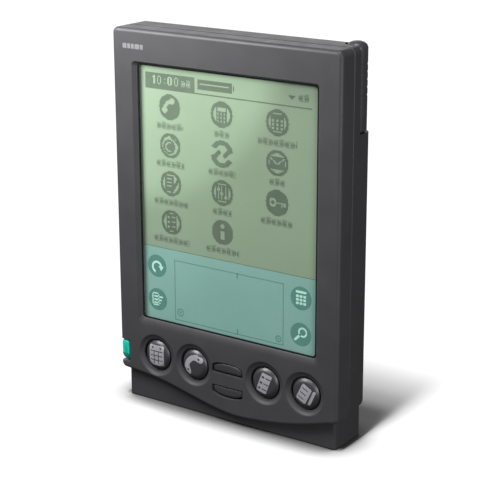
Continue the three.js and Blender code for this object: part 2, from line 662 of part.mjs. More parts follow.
// ---------------------------------------------------------------- dock connector in the foot
function dockConnector() {
  const body = box(-DOCK.half - 1.5, DOCK.half + 1.5, DOCK.front - 1.2, DOCK.back + 1.2, FOOT_WALL + 0.1, 10);
  return cut(body, box(-DOCK.half + 0.4, DOCK.half - 0.4, DOCK.front + 0.3, DOCK.back - 0.3, 0, 6.4));
}
add("dock_connector", dockConnector(), CHIP);

// ten contacts on one moulded strip
function dockContacts() {
  const y1 = DOCK.back - 0.35;
  let comb = box(-11.8, 11.8, y1 - 0.6, y1, 5.4, 6.3);
  for (let i = 0; i < 10; i++) {
    const x = (i - 4.5) * 2.4;
    comb = comb.add(box(x - 0.6, x + 0.6, y1 - 0.6, y1, 2, 5.5));
  }
  return comb;
}
add("dock_contacts", dockContacts(), BRASS);

// ---------------------------------------------------------------- reset, screws and label
add("reset_switch", box(RESET.x - 3, RESET.x + 3, onBoard, -0.6, RESET.z - 3, RESET.z + 3), CHIP);
add("reset_plunger", barY(RESET.x, RESET.z, RESET.r, RESET.r, -0.2, BACK - WALL - 0.1, 16), BUTTON);

SCREWS.forEach(([x, z, back], i) => {
  const seat = back - 3 + STACK_GAP;
  const head = barY(x, z, SCREW_HEAD_R, SCREW_HEAD_R, seat, seat + 1.4, 20);
  const shank = barY(x, z, 0.95, 0.95, BOARD.front - 1.8, seat + 0.2, 12);
  const slot = 0.25;
  const drive = joined(
    box(x - 1.1, x + 1.1, seat + 0.7, seat + 2, z - slot, z + slot),
    box(x - slot, x + slot, seat + 0.7, seat + 2, z - 1.1, z + 1.1),
  );
  add(`case_screw_${i + 1}`, cut(joined(head, shank), drive), METAL);
});

const label = roundedRect(LABEL.left, LABEL.right, LABEL.bottom, LABEL.top, 1.5);
add("rear_label", plate(label, BACK - LABEL.thick, BACK - 0.02), LABEL_FINISH);

export default part;
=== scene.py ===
"""Looks of a pocket personal digital assistant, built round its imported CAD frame. Lengths are in millimetres
until a mesh is made, and the row frame is +Z up with the screen facing -Y."""

import math

import bmesh
import bpy
from mathutils import Matrix, Vector


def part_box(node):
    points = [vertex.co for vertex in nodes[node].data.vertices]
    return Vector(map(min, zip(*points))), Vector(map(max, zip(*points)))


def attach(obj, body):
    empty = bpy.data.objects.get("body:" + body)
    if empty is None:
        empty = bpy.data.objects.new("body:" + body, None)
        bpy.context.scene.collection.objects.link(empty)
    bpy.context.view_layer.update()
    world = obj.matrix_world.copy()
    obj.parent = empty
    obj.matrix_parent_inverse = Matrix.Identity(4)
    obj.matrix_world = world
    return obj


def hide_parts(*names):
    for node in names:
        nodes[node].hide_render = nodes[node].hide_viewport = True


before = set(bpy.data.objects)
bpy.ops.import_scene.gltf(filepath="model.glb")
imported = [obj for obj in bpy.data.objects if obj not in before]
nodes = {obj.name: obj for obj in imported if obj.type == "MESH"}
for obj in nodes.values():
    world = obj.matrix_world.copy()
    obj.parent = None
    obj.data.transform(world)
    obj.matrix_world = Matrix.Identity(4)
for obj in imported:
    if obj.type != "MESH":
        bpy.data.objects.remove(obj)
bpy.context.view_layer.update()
scene = bpy.context.scene

MM = 0.001


def node_box(name):
    """Lowest and highest corner of a CAD node, in millimetres."""
    low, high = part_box(name)
    return low / MM, high / MM


def middle(name):
    """The x and z of a CAD node's middle, in millimetres."""
    low, high = node_box(name)
    return (low.x + high.x) / 2, (low.z + high.z) / 2


def grown(name, play):
    """Left, right, bottom and top of a CAD node seen from the front, with play all round."""
    low, high = node_box(name)
    return low.x - play, high.x + play, low.z - play, high.z + play


# ---- driving sizes, in millimetres
front_low, front_high = node_box("front_case")
rear_low, rear_high = node_box("rear_case")
SIDE = front_high.x
FRONT = front_low.y
BACK = rear_high.y
TOP = front_high.z
SEAM = front_high.y  # the front shell ends here
SEAM_GAP = 0.3
WALL = 1.6
FRONT_WALL = 1.8
CORNER_R = 1.9
FRONT_EDGE = 1.2  # rounding all round the front face
REAR_EDGE = 3.2  # rounding all round the back
SIDE_BOTTOM = 10
CHIN_BACK = FRONT + 1.7

FOOT_SIDE = SIDE - 1.7
FOOT_FRONT = FRONT + 2
FOOT_BACK = BACK - 0.6
FOOT_WALL = 1.8

# The chin: the front shell's lower edge, from its left corner to its right one.
CHIN = [(-38.6, 9.5), (-30, 8.75), (-22.6, 7.75), (-13, 5.6), (-4, 3.65), (4, 2.75), (12, 3.2), (20.5, 4.35),
        (28.7, 6.05), (38.6, 8.9)]

WINDOW = (-33.2, 33.4, 25.8, 109.3)  # left, right, bottom and top of its outer edge
OPENING = (-31.95, 32.35, 27.9, 108.6)  # and of its inner edge
WINDOW_DEEP = 1.1
LCD_FACE = node_box("lcd_cell")[0].y
TEAL_FACE = node_box("writing_area_sheet")[0].y
PITCH = 0.375  # of the display's cells
COLUMNS = 160
LCD_LEFT = -29.9
LCD_TOP = 106.05
ICON_R = 10.5  # in cells

BUTTONS = ("date_button", "contacts_button", "tasks_button", "notes_button")
BUTTON_R = 4.6
HOLE_R = 5.4
DISH_R = 7.0
DISH_DEEP = 0.8

SCREWS = ["case_screw_%d" % (i + 1) for i in range(4)]
STYLUS = (37, 5)
SILO_R = 2.6
HEAD_ROOM_R = 3.45  # of the silo's wide upper end


# ---- outlines: closed lists of 2-D points
def arc(cx, cy, r, start, end, steps=8):
    """Points of an arc, angles in degrees."""
    turn = math.radians(end - start) / steps
    first = math.radians(start)
    angles = [first + turn * i for i in range(steps + 1)]
    return [(cx + r * math.cos(a), cy + r * math.sin(a)) for a in angles]


def rounded_rect(x0, x1, y0, y1, r, steps=8):
    return (
        arc(x1 - r, y0 + r, r, -90, 0, steps)
        + arc(x1 - r, y1 - r, r, 0, 90, steps)
        + arc(x0 + r, y1 - r, r, 90, 180, steps)
        + arc(x0 + r, y0 + r, r, 180, 270, steps)
    )


def circle(cx, cy, r, steps=48):
    return arc(cx, cy, r, 0, 360 - 360 / steps, steps - 1)


def area(points):
    pairs = zip(points, points[1:] + points[:1])
    return sum(a[0] * b[1] - a[1] * b[0] for a, b in pairs) / 2


def inset(points, distance):
    """The outline moved inwards by a distance, point by point."""
    sign = 1 if area(points) > 0 else -1
    moved = []
    for i, point in enumerate(points):
        p = Vector(point)
        before = p - Vector(points[i - 1])
        after = Vector(points[(i + 1) % len(points)]) - p
        n1 = Vector((-before.y, before.x)).normalized() * sign
        n2 = Vector((-after.y, after.x)).normalized() * sign
        q = p + (n1 + n2) * (distance / (1 + n1.dot(n2)))
        moved.append((q.x, q.y))
    return moved


def spline(points, steps=6):
    """A smooth open curve through the points (Catmull-Rom)."""
    ends = [points[0], *points, points[-1]]
    curve = []
    for a, b, c, d in zip(ends, ends[1:], ends[2:], ends[3:]):
        a, b, c, d = Vector(a), Vector(b), Vector(c), Vector(d)
        for i in range(steps):
            t = i / steps
            q = b + (c - a) * (t / 2) + (2 * a - 5 * b + 4 * c - d) * (t * t / 2)
            q = q + (3 * b - a - 3 * c + d) * (t**3 / 2)
            curve.append(tuple(q))
    return curve + [points[-1]]


def soften(points, radius, steps=4):
    """A closed outline with its corners rounded."""
    soft = []
    for i, point in enumerate(points):
        p = Vector(point)
        a = Vector(points[i - 1]) - p
        b = Vector(points[(i + 1) % len(points)]) - p
        reach = min(radius, a.length * 0.49, b.length * 0.49)
        start = p + a.normalized() * reach
        end = p + b.normalized() * reach
        for k in range(steps + 1):
            t = k / steps
            q = start * (1 - t) ** 2 + p * (2 * t * (1 - t)) + end * t * t
            soft.append(tuple(q))
    return soft


def front_outline():
    """The front shell seen from the front, with the chin as its lower edge."""
    r = CORNER_R
    line = spline(CHIN)
    left = Vector(CHIN[1]) - Vector(CHIN[0])
    right = Vector(CHIN[-1]) - Vector(CHIN[-2])
    left_turn = math.degrees(math.atan2(left.y, left.x))
    right_turn = math.degrees(math.atan2(right.y, right.x))
    lc = Vector(CHIN[0]) + Vector((-left.y, left.x)).normalized() * r
    rc = Vector(CHIN[-1]) + Vector((-right.y, right.x)).normalized() * r
    lc.x = -SIDE + r
    rc.x = SIDE - r
    points = arc(rc.x, rc.y, r, -90 + right_turn, 0, 6)
    points += arc(SIDE - r, TOP - r, r, 0, 90)
    points += arc(-SIDE + r, TOP - r, r, 90, 180)
    points += arc(lc.x, lc.y, r, 180, 270 + left_turn, 6)
    return points + line[1:-1]


def inner_outline():
    """The room inside both shells, seen from the front."""
    return rounded_rect(-SIDE + WALL, SIDE - WALL, SIDE_BOTTOM + WALL, TOP - WALL, 1)


def scroll_outline(side, play=0.0):
    """A scroll key: straight on the edge nearest the middle, arched on the other."""
    low, high = node_box("scroll_up_button")
    low_down = node_box("scroll_down_button")[0]
    cx = (low.x + high.x) / 2
    between = (high.z + low_down.z) / 2
    half = 5.4 + play
    near = between + side * (2.3 - play)
    end = between + side * (3.9 + play)
    far = between + side * (5.4 + play)
    turns = [math.pi * i / 12 for i in range(13)]
    arch = [(cx + side * half * math.cos(a), end + (far - end) * math.sin(a)) for a in turns]
    return [(cx - side * half, near), (cx + side * half, near), *arch]


# ---- solids: bmesh bodies in millimetres
def place(outline, axis, at):
    """Outline points in 3-D, on the plane that cuts the axis at that value."""
    if axis == "x":
        return [(at, u, v) for u, v in outline]
    if axis == "y":
        return [(u, at, v) for u, v in outline]
    return [(u, v, at) for u, v in outline]


def loft(rings):
    """A closed body through rings of as many points each."""
    bm = bmesh.new()
    layers = [[bm.verts.new(p) for p in ring] for ring in rings]
    for a, b in zip(layers, layers[1:]):
        for i in range(len(a)):
            j = (i + 1) % len(a)
            bm.faces.new((a[i], a[j], b[j], b[i]))
    bm.faces.new(list(reversed(layers[0])))
    bm.faces.new(layers[-1])
    bmesh.ops.recalc_face_normals(bm, faces=bm.faces)
    return bm


def slab(outline, axis, low, high, low_edge=0.0, high_edge=0.0, steps=4):
    """An outline pushed along an axis, with a rounded edge at either end."""
    rings = []
    for i in range(steps if low_edge else 0):
        a = math.pi / 2 * i / steps
        ring = inset(outline, low_edge * (1 - math.sin(a)))
        rings.append(place(ring, axis, low + low_edge * (1 - math.cos(a))))
    rings.append(place(outline, axis, low + low_edge))
    rings.append(place(outline, axis, high - high_edge))
    for i in range(1, (steps if high_edge else 0) + 1):
        a = math.pi / 2 * i / steps
        ring = inset(outline, high_edge * (1 - math.cos(a)))
        rings.append(place(ring, axis, high - high_edge + high_edge * math.sin(a)))
    return loft(rings)


def block(x0, x1, y0, y1, z0, z1, edge=0.0):
    """A rectangular body; edge rounds all its edges."""
    if not edge:
        return slab([(x0, z0), (x1, z0), (x1, z1), (x0, z1)], "y", y0, y1)
    return slab(rounded_rect(x0, x1, z0, z1, edge * 1.3, 3), "y", y0, y1, edge, edge, 3)


def turned(profile, axis, centre, segments=48):
    """A body turned round an axis. The profile is (radius, place along the axis) from end to end."""
    bm = bmesh.new()
    rings = []
    for r, at in profile:
        count = segments if r > 0 else 1
        angles = [2 * math.pi * i / count for i in range(count)]
        flat = [(centre[0] + r * math.cos(a), centre[1] + r * math.sin(a)) for a in angles]
        rings.append([bm.verts.new(p) for p in place(flat, axis, at)])
    for a, b in zip(rings, rings[1:]):
        for i in range(segments):
            j = (i + 1) % segments
            if len(a) == 1 and len(b) > 1:
                bm.faces.new((a[0], b[j], b[i]))
            elif len(b) == 1 and len(a) > 1:
                bm.faces.new((a[i], a[j], b[0]))
            elif len(a) > 1:
                bm.faces.new((a[i], a[j], b[j], b[i]))
    bmesh.ops.recalc_face_normals(bm, faces=bm.faces)
    return bm


def rod(r, low, high, axis, centre, segments=48):
    """A plain round body from low to high along an axis, used to cut with or to join."""
    return turned([(0, low), (r, low), (r, high), (0, high)], axis, centre, segments)


def merged(*bodies):
    """Several bodies in one bmesh, side by side."""
    whole = bmesh.new()
    for bm in bodies:
        mesh = bpy.data.meshes.new("part")
        bm.to_mesh(mesh)
        bm.free()
        whole.from_mesh(mesh)
        bpy.data.meshes.remove(mesh)
    return whole


def scratch(bm):
    mesh = bpy.data.meshes.new("scratch")
    bm.to_mesh(mesh)
    bm.free()
    made = bpy.data.objects.new("scratch", mesh)
    scene.collection.objects.link(made)
    return made


def combine(base, tools, operation="DIFFERENCE"):
    """The base body with each tool cut from it, joined to it or kept in common with it."""
    body = scratch(base)
    others = [scratch(t) for t in tools]
    for other in others:
        change = body.modifiers.new("cut", "BOOLEAN")
        change.operation = operation
        change.solver = "EXACT"
        change.object = other
    graph = bpy.context.evaluated_depsgraph_get()
    shaped = body.evaluated_get(graph).to_mesh()
    result = bmesh.new()
    result.from_mesh(shaped)
    for o in [body, *others]:
        mesh = o.data
        bpy.data.objects.remove(o)
        bpy.data.meshes.remove(mesh)
    bmesh.ops.remove_doubles(result, verts=result.verts, dist=0.002)
    return result


def piece(name, bm, body, material, replaces=(), bevel=0.0, sharp=32):
    """Puts a body in the scene as a piece of the object, smooth but for its sharp or bevelled edges."""
    bmesh.ops.recalc_face_normals(bm, faces=bm.faces)
    mesh = bpy.data.meshes.new(name)
    bm.to_mesh(mesh)
    bm.free()
    mesh.transform(Matrix.Scale(MM, 4))
    made = bpy.data.objects.new(name, mesh)
    scene.collection.objects.link(made)
    for face in mesh.polygons:
        face.use_smooth = True
    mesh.set_sharp_from_angle(angle=math.radians(sharp))
    if bevel:
        edge = made.modifiers.new("edge", "BEVEL")
        edge.width = bevel * MM
        edge.segments = 2
        edge.limit_method = "ANGLE"
        edge.angle_limit = math.radians(sharp)
        edge.harden_normals = True
        edge.miter_outer = "MITER_ARC"
    weigh = made.modifiers.new("normals", "WEIGHTED_NORMAL")
    weigh.keep_sharp = True
    mesh.materials.append(material)
    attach(made, body)
    if replaces:
        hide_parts(*replaces)
    return made


# ---- materials
class Nodes:
    """Short calls for a material's nodes and links."""

    def __init__(self, name):
        self.material = bpy.data.materials.new(name)
        self.material.use_nodes = True
        self.tree = self.material.node_tree
        self.shader = self.tree.nodes["Principled BSDF"]
        self.place = self.add("ShaderNodeTexCoord").outputs["Object"]

    def add(self, kind, **values):
        made = self.tree.nodes.new(kind)
        for key, value in values.items():
            setattr(made, key, value)
        return made

    def link(self, source, target):
        self.tree.links.new(source, target)
        return self

    def noise(self, size, detail=2.0, stretch=None):
        """Noise whose lumps are about this many millimetres across."""
        made = self.add("ShaderNodeTexNoise")
        made.inputs["Scale"].default_value = 1 / (size * MM)
        made.inputs["Detail"].default_value = detail
        place = self.place
        if stretch:
            mapping = self.add("ShaderNodeMapping")
            mapping.inputs["Scale"].default_value = stretch
            self.link(place, mapping.inputs["Vector"])
            place = mapping.outputs["Vector"]
        self.link(place, made.inputs["Vector"])
        return made.outputs["Fac"]

    def ramp(self, source, low, high, from_value=0.0, to_value=1.0):
        """Maps low..high of the source onto another range."""
        made = self.add("ShaderNodeMapRange")
        made.inputs["From Min"].default_value = low
        made.inputs["From Max"].default_value = high
        made.inputs["To Min"].default_value = from_value
        made.inputs["To Max"].default_value = to_value
        self.link(source, made.inputs["Value"])
        return made.outputs["Result"]

    def math(self, operation, a, b=None):
        made = self.add("ShaderNodeMath", operation=operation)
        for value, socket in ((a, made.inputs[0]), (b, made.inputs[1])):
            if value is None:
                continue
            if isinstance(value, (int, float)):
                socket.default_value = value
            else:
                self.link(value, socket)
        return made.outputs[0]

    def mix(self, factor, a, b):
        """A colour between a and b; each is a colour or a socket."""
        made = self.add("ShaderNodeMix", data_type="RGBA")
        for value, socket in ((factor, made.inputs[0]), (a, made.inputs[6]), (b, made.inputs[7])):
            if isinstance(value, bpy.types.NodeSocket):
                self.link(value, socket)
            elif isinstance(value, (int, float)):
                socket.default_value = value
            else:
                socket.default_value = (*value, 1)
        return made.outputs[2]

    def edges(self, radius):
        """1 on outer edges, 0 on flat stretches."""
        bevel = self.add("ShaderNodeBevel", samples=4)
        bevel.inputs["Radius"].default_value = radius * MM
        plain = self.add("ShaderNodeNewGeometry").outputs["Normal"]
        dot = self.add("ShaderNodeVectorMath", operation="DOT_PRODUCT")
        self.link(bevel.outputs["Normal"], dot.inputs[0])
        self.link(plain, dot.inputs[1])
        return self.ramp(dot.outputs["Value"], 0.97, 0.75)

    def axes(self):
        """The X, Y and Z of the place on the object."""
        split = self.add("ShaderNodeSeparateXYZ")
        self.link(self.place, split.inputs[0])
        return split.outputs

    def color(self, body):
        return self.link(body, self.shader.inputs["Base Color"])

    def rough(self, noise, low, high, start=0.3, end=0.7):
        """Roughness that wanders from low to high with a noise."""
        return self.link(self.ramp(noise, start, end, low, high), self.shader.inputs["Roughness"])

    def give(self, **values):
        """Fixed values for the shader's sockets, named with underscores for spaces."""
        for key, value in values.items():
            self.shader.inputs[key.replace("_", " ")].default_value = value
        return self

    def bump(self, height, strength, depth):
        made = self.add("ShaderNodeBump")
        made.inputs["Strength"].default_value = strength
        made.inputs["Distance"].default_value = depth * MM
        self.link(height, made.inputs["Height"])
        self.link(made.outputs["Normal"], self.shader.inputs["Normal"])
        return self


def linear(hexadecimal):
    """A hex colour as linear RGB."""
    parts = [int(hexadecimal[i:i + 2], 16) / 255 for i in (0, 2, 4)]
    return tuple(c / 12.92 if c <= 0.04045 else ((c + 0.055) / 1.055) ** 2.4 for c in parts)


def tinted(color, factor):
    return tuple(min(1.0, c * factor) for c in color)


def plastic(name, color, roughness=0.5, grain=0.22, depth=0.012, wear=0.35, specular=0.35):
    """Moulded plastic: a fine spark-eroded grain, faint colour drift, and lighter worn edges."""
    n = Nodes(name)
    base = linear(color)
    drift = n.ramp(n.noise(14, 3), 0.3, 0.7)
    body = n.mix(drift, tinted(base, 0.9), tinted(base, 1.1))
    speckle = n.ramp(n.noise(grain * 1.6, 2), 0.35, 0.75)
    body = n.mix(n.math("MULTIPLY", speckle, 0.12), body, tinted(base, 1.6))
    scuffs = n.ramp(n.noise(1.1, 4), 0.42, 0.62)
    worn = n.math("MULTIPLY", n.math("MULTIPLY", n.edges(0.35), scuffs), wear)
    n.color(n.mix(worn, body, tinted(base, 2.4)))
    n.rough(n.noise(6, 4), roughness - 0.05, roughness + 0.07, 0.25, 0.75)
    n.give(Specular_IOR_Level=specular)
    n.bump(n.noise(grain, 3), 0.35, depth)
    return n.material


def metal(name, color, roughness=0.3, brushed=(1, 1, 1), depth=0.004):
    """Bare metal with fine directional scratches and dull patches."""
    n = Nodes(name)
    base = linear(color)
    dull = n.ramp(n.noise(3, 4), 0.35, 0.7)
    n.color(n.mix(dull, tinted(base, 1.08), tinted(base, 0.72)))
    n.rough(n.noise(1.2, 4), roughness - 0.08, roughness + 0.15)
    n.give(Metallic=1)
    n.bump(n.noise(0.3, 3, brushed), 0.3, depth)
    return n.material


def printed(name, color, roughness=0.45):
    """Screen-printed ink, a little patchy, with a faint raised texture."""
    n = Nodes(name)
    base = linear(color)
    patchy = n.ramp(n.noise(0.5, 4), 0.35, 0.7)
    n.color(n.mix(patchy, tinted(base, 0.86), tinted(base, 1.08)))
    n.rough(n.noise(0.8), roughness - 0.05, roughness + 0.1)
    n.give(Specular_IOR_Level=0.3)
    n.bump(n.noise(0.12), 0.2, 0.004)
    return n.material


def cell_gaps(n, share):
    """This share on the lines between the display's cells, 0 elsewhere."""
    place = n.axes()
    lines = []
    for axis in ("X", "Z"):
        step = n.math("FRACT", n.math("MULTIPLY", place[axis], 1 / (PITCH * MM)))
        lines.append(n.math("LESS_THAN", step, 0.1))
    return n.math("MULTIPLY", n.math("MAXIMUM", *lines), share)


def lcd_surface():
    """Reflective liquid-crystal glass: olive green, with its fine grid of cells and slow uneven tone."""
    n = Nodes("lcd_green")
    light = linear("637560")
    dark = linear("5a6b56")
    tone = n.ramp(n.noise(60, 2), 0.35, 0.65)
    body = n.mix(cell_gaps(n, 0.10), n.mix(tone, dark, light), tinted(light, 1.25))
    haze = n.ramp(n.noise(0.35, 3), 0.3, 0.7)
    n.color(n.mix(n.math("MULTIPLY", haze, 0.06), body, tinted(dark, 0.8)))
    n.rough(n.noise(4), 0.38, 0.48)
    n.give(Specular_IOR_Level=0.2)
    n.bump(n.noise(0.2), 0.1, 0.002)
    return n.material


def lcd_ink():
    """Switched-on display cells: dark green, showing the gaps between cells."""
    n = Nodes("lcd_ink")
    uneven = n.ramp(n.noise(5, 2), 0.3, 0.7)
    ink = n.mix(uneven, linear("2c3a2b"), linear("334231"))
    n.color(n.mix(cell_gaps(n, 0.35), ink, linear("4c5c49")))
    n.rough(n.noise(2), 0.4, 0.5)
    n.give(Specular_IOR_Level=0.2)
    return n.material


def teal_surface():
    """The printed film of the writing area, smooth and slightly mottled."""
    n = Nodes("writing_teal")
    mottle = n.ramp(n.noise(30, 3), 0.3, 0.7)
    body = n.mix(mottle, linear("537a72"), linear("5c8179"))
    weave = n.ramp(n.noise(0.3, 3), 0.3, 0.7)
    n.color(n.mix(n.math("MULTIPLY", weave, 0.1), body, linear("6c938c")))
    n.rough(n.noise(3), 0.42, 0.52)
    n.give(Specular_IOR_Level=0.2)
    n.bump(n.noise(0.15), 0.1, 0.002)
    return n.material


def clear_film():
    """The touch panel: thin clear glass under a hard coat, with faint finger haze."""
    n = Nodes("touch_film")
    n.give(Base_Color=(*linear("a9b3a9"), 1), Specular_IOR_Level=1.0)
    haze = n.ramp(n.noise(9, 5), 0.35, 0.75)
    n.link(n.ramp(haze, 0, 1, 0.06, 0.2), n.shader.inputs["Roughness"])
    n.link(n.ramp(haze, 0, 1, 0.04, 0.055), n.shader.inputs["Alpha"])
    n.bump(n.noise(0.25), 0.05, 0.001)
    return n.material


def board():
    """Solder-masked circuit board with tracks and pads showing through."""
    n = Nodes("board_green")
    bend = n.math("MULTIPLY", n.ramp(n.noise(9, 0), 0.45, 0.55), 3 * MM)
    run = n.math("FRACT", n.math("MULTIPLY", n.math("ADD", n.axes()["X"], bend), 1 / (1.3 * MM)))
    tracks = n.math("MULTIPLY", n.math("LESS_THAN", run, 0.35), n.ramp(n.noise(5, 1), 0.45, 0.5))
    body = n.mix(tracks, linear("1d5a34"), linear("3a8a54"))
    cells = n.add("ShaderNodeTexVoronoi")
    cells.inputs["Scale"].default_value = 1 / (3.5 * MM)
    n.link(n.place, cells.inputs["Vector"])
    pads = n.math("LESS_THAN", cells.outputs["Distance"], 0.13)
    n.color(n.mix(pads, body, linear("b9b7a8")))
    n.rough(n.noise(2), 0.3, 0.42)
    n.bump(n.math("ADD", tracks, pads), 0.3, 0.03)
    return n.material


def cell_wrap():
    """A battery cell's printed wrap: a dark body with a copper-coloured collar."""
    n = Nodes("cell_wrap")
    collar = n.math("GREATER_THAN", n.axes()["X"], 6 * MM)
    grime = n.ramp(n.noise(2, 4), 0.3, 0.7)
    dark = n.mix(grime, linear("25262c"), linear("30323a"))
    n.color(n.mix(collar, dark, linear("a8702f")))
    n.rough(n.noise(1), 0.25, 0.35)
    n.give(Metallic=0.6)
    n.bump(n.noise(0.6), 0.1, 0.01)
    return n.material


shell_grey = plastic("shell_grey", "2f2f31", 0.5, wear=0.6, specular=0.3)
shell_rear = plastic("shell_rear", "2c2c2e", 0.52, specular=0.3)
key_black = plastic("key_black", "29292c", 0.38, 0.16, 0.006, 0.2, 0.45)
key_green = plastic("key_green", "119a86", 0.5, 0.2, 0.006, 0.3, 0.3)
stylus_black = plastic("stylus_black", "2b2b2e", 0.42, 0.16, 0.006, 0.3, 0.4)
tip_black = plastic("tip_black", "1d1d1f", 0.5)
foam_black = plastic("foam_black", "0d0f0e", 0.8, 0.3, 0.03, 0, 0.1)
chip_black = plastic("chip_black", "1b1b1d", 0.5, 0.12, 0.004)
rubber_grey = plastic("rubber_grey", "4a4b4e", 0.8, 0.4, 0.02, 0, 0.2)
flex_amber = plastic("flex_amber", "a8692a", 0.35, 0.5, 0.01, 0, 0.4)
glow_white = plastic("glow_white", "cfd8c8", 0.5, 0.5, 0.005, 0, 0.3)
frame_metal = metal("frame_metal", "96989a", 0.4)
steel = metal("steel", "b4b4b0", 0.28)
brass = metal("brass", "c2a564", 0.3, (1, 8, 1))
key_print = printed("key_print", "7b7b7f")
maker_print = printed("maker_print", "606063")
label_paper = printed("label_paper", "77787c")
label_ink = printed("label_ink", "c9cacc")
lcd_green = lcd_surface()
writing_teal = teal_surface()
touch_film = clear_film()
board_green = board()
wrap = cell_wrap()
lcd_dark = lcd_ink()
teal_ink = printed("teal_ink", "2c6157")
teal_light = printed("teal_light", "8fb8ac")


# ---- front shell
def window_cutter():
    """The sloping rim of the window, wider at the front face."""
    slope = [o - i for o, i in zip(WINDOW, OPENING)]
    beyond = 0.5
    outer = [o + s * beyond / WINDOW_DEEP for o, s in zip(WINDOW, slope)]
    return loft([
        place(rounded_rect(*outer, 1.4), "y", FRONT - beyond),
        place(rounded_rect(*OPENING, 1.0), "y", FRONT + WINDOW_DEEP),
    ])


def button_cutter(x, z):
    floor = FRONT + DISH_DEEP
    far = FRONT + 4
    dish = [(DISH_R + (HOLE_R - DISH_R) * t, FRONT + DISH_DEEP * math.sin(t * math.pi / 2) ** 1.3) for t in
            [i / 6 for i in range(7)]]
    profile = [(0, FRONT - 1), (DISH_R, FRONT - 1), *dish, (HOLE_R, floor + 0.2), (HOLE_R, far), (0, far)]
    return turned(profile, "y", (x, z), 64)


def front_shell():
    body = slab(front_outline(), "y", FRONT, SEAM, FRONT_EDGE, 0.25, 6)
    panel_low, panel_high = node_box("touch_panel")
    power_low, power_high = node_box("power_button")
    play = 0.3
    notch = 0.35
    far = FRONT + 12
    tools = [
        slab(inner_outline(), "y", FRONT + FRONT_WALL, far),
        block(-FOOT_SIDE - 0.4, FOOT_SIDE + 0.4, CHIN_BACK, far, -1, SIDE_BOTTOM + WALL + 1.4),
        window_cutter(),
        slab(rounded_rect(*OPENING, 1.0), "y", FRONT + WINDOW_DEEP - 0.1, far),
        block(panel_low.x - play, panel_high.x + play, FRONT + WINDOW_DEEP, far,
              panel_low.z - play, panel_high.z + play),
        block(-SIDE - 1, power_high.x + notch, FRONT - 1, far, power_low.z - notch, power_high.z + notch),
        slab(scroll_outline(1, notch), "y", FRONT - 1, far),
        slab(scroll_outline(-1, notch), "y", FRONT - 1, far),
    ]
    for name in BUTTONS:
        tools.append(button_cutter(*middle(name)))
    return combine(body, tools)


piece("front_shell", front_shell(), "case", shell_grey, ["front_case"], 0.14)


# ---- rear shell with the foot
def rear_body():
    """The wide part of the rear shell: outline corners open out a little as the back edge rounds over."""
    seam = SEAM + SEAM_GAP
    rings = []
    lip = 0.4
    for i in range(4):
        a = math.pi / 2 * i / 4
        rings.append((seam + lip * (1 - math.cos(a)), lip * (1 - math.sin(a))))
    rings.append((seam + lip, 0))
    for i in range(13):
        a = math.pi / 2 * i / 12
        rings.append((BACK - REAR_EDGE * (1 - math.sin(a)), REAR_EDGE * (1 - math.cos(a))))
    made = []
    for y, d in rings:
        r = CORNER_R + 0.5 * d if y > 0 else CORNER_R
        made.append(place(rounded_rect(-SIDE + d, SIDE - d, SIDE_BOTTOM + d, TOP - d, r), "y", y))
    return loft(made)


def foot_body():
    outline = rounded_rect(-FOOT_SIDE, FOOT_SIDE, FOOT_FRONT, FOOT_BACK, 1.2, 10)
    return slab(outline, "z", 0, SIDE_BOTTOM + 3.5, 0.4, 0)


def foot_trim():
    """Takes away the top of the foot's front wall, behind the chin."""
    line = [(x, z + 1.3) for x, z in spline(CHIN)]
    outline = [(-50, SIDE_BOTTOM + 1.2), *line, (50, SIDE_BOTTOM + 1.2), (50, 16), (-50, 16)]
    return slab(outline, "y", FOOT_FRONT - 1, SEAM + SEAM_GAP)


def silo_tools():
    x, y = STYLUS
    head = node_box("stylus_head")
    notch = head[0].z - 0.3
    far = TOP + 2
    return [
        rod(SILO_R, 16, notch + 1, "z", STYLUS, 40),
        rod(HEAD_ROOM_R, notch, far, "z", STYLUS, 40),
        block(x - 0.6, SIDE + 2, 1.5, BACK + 4, notch, far),
        block(x - 3.2, SIDE + 2, y, BACK + 4, notch, far),
    ]


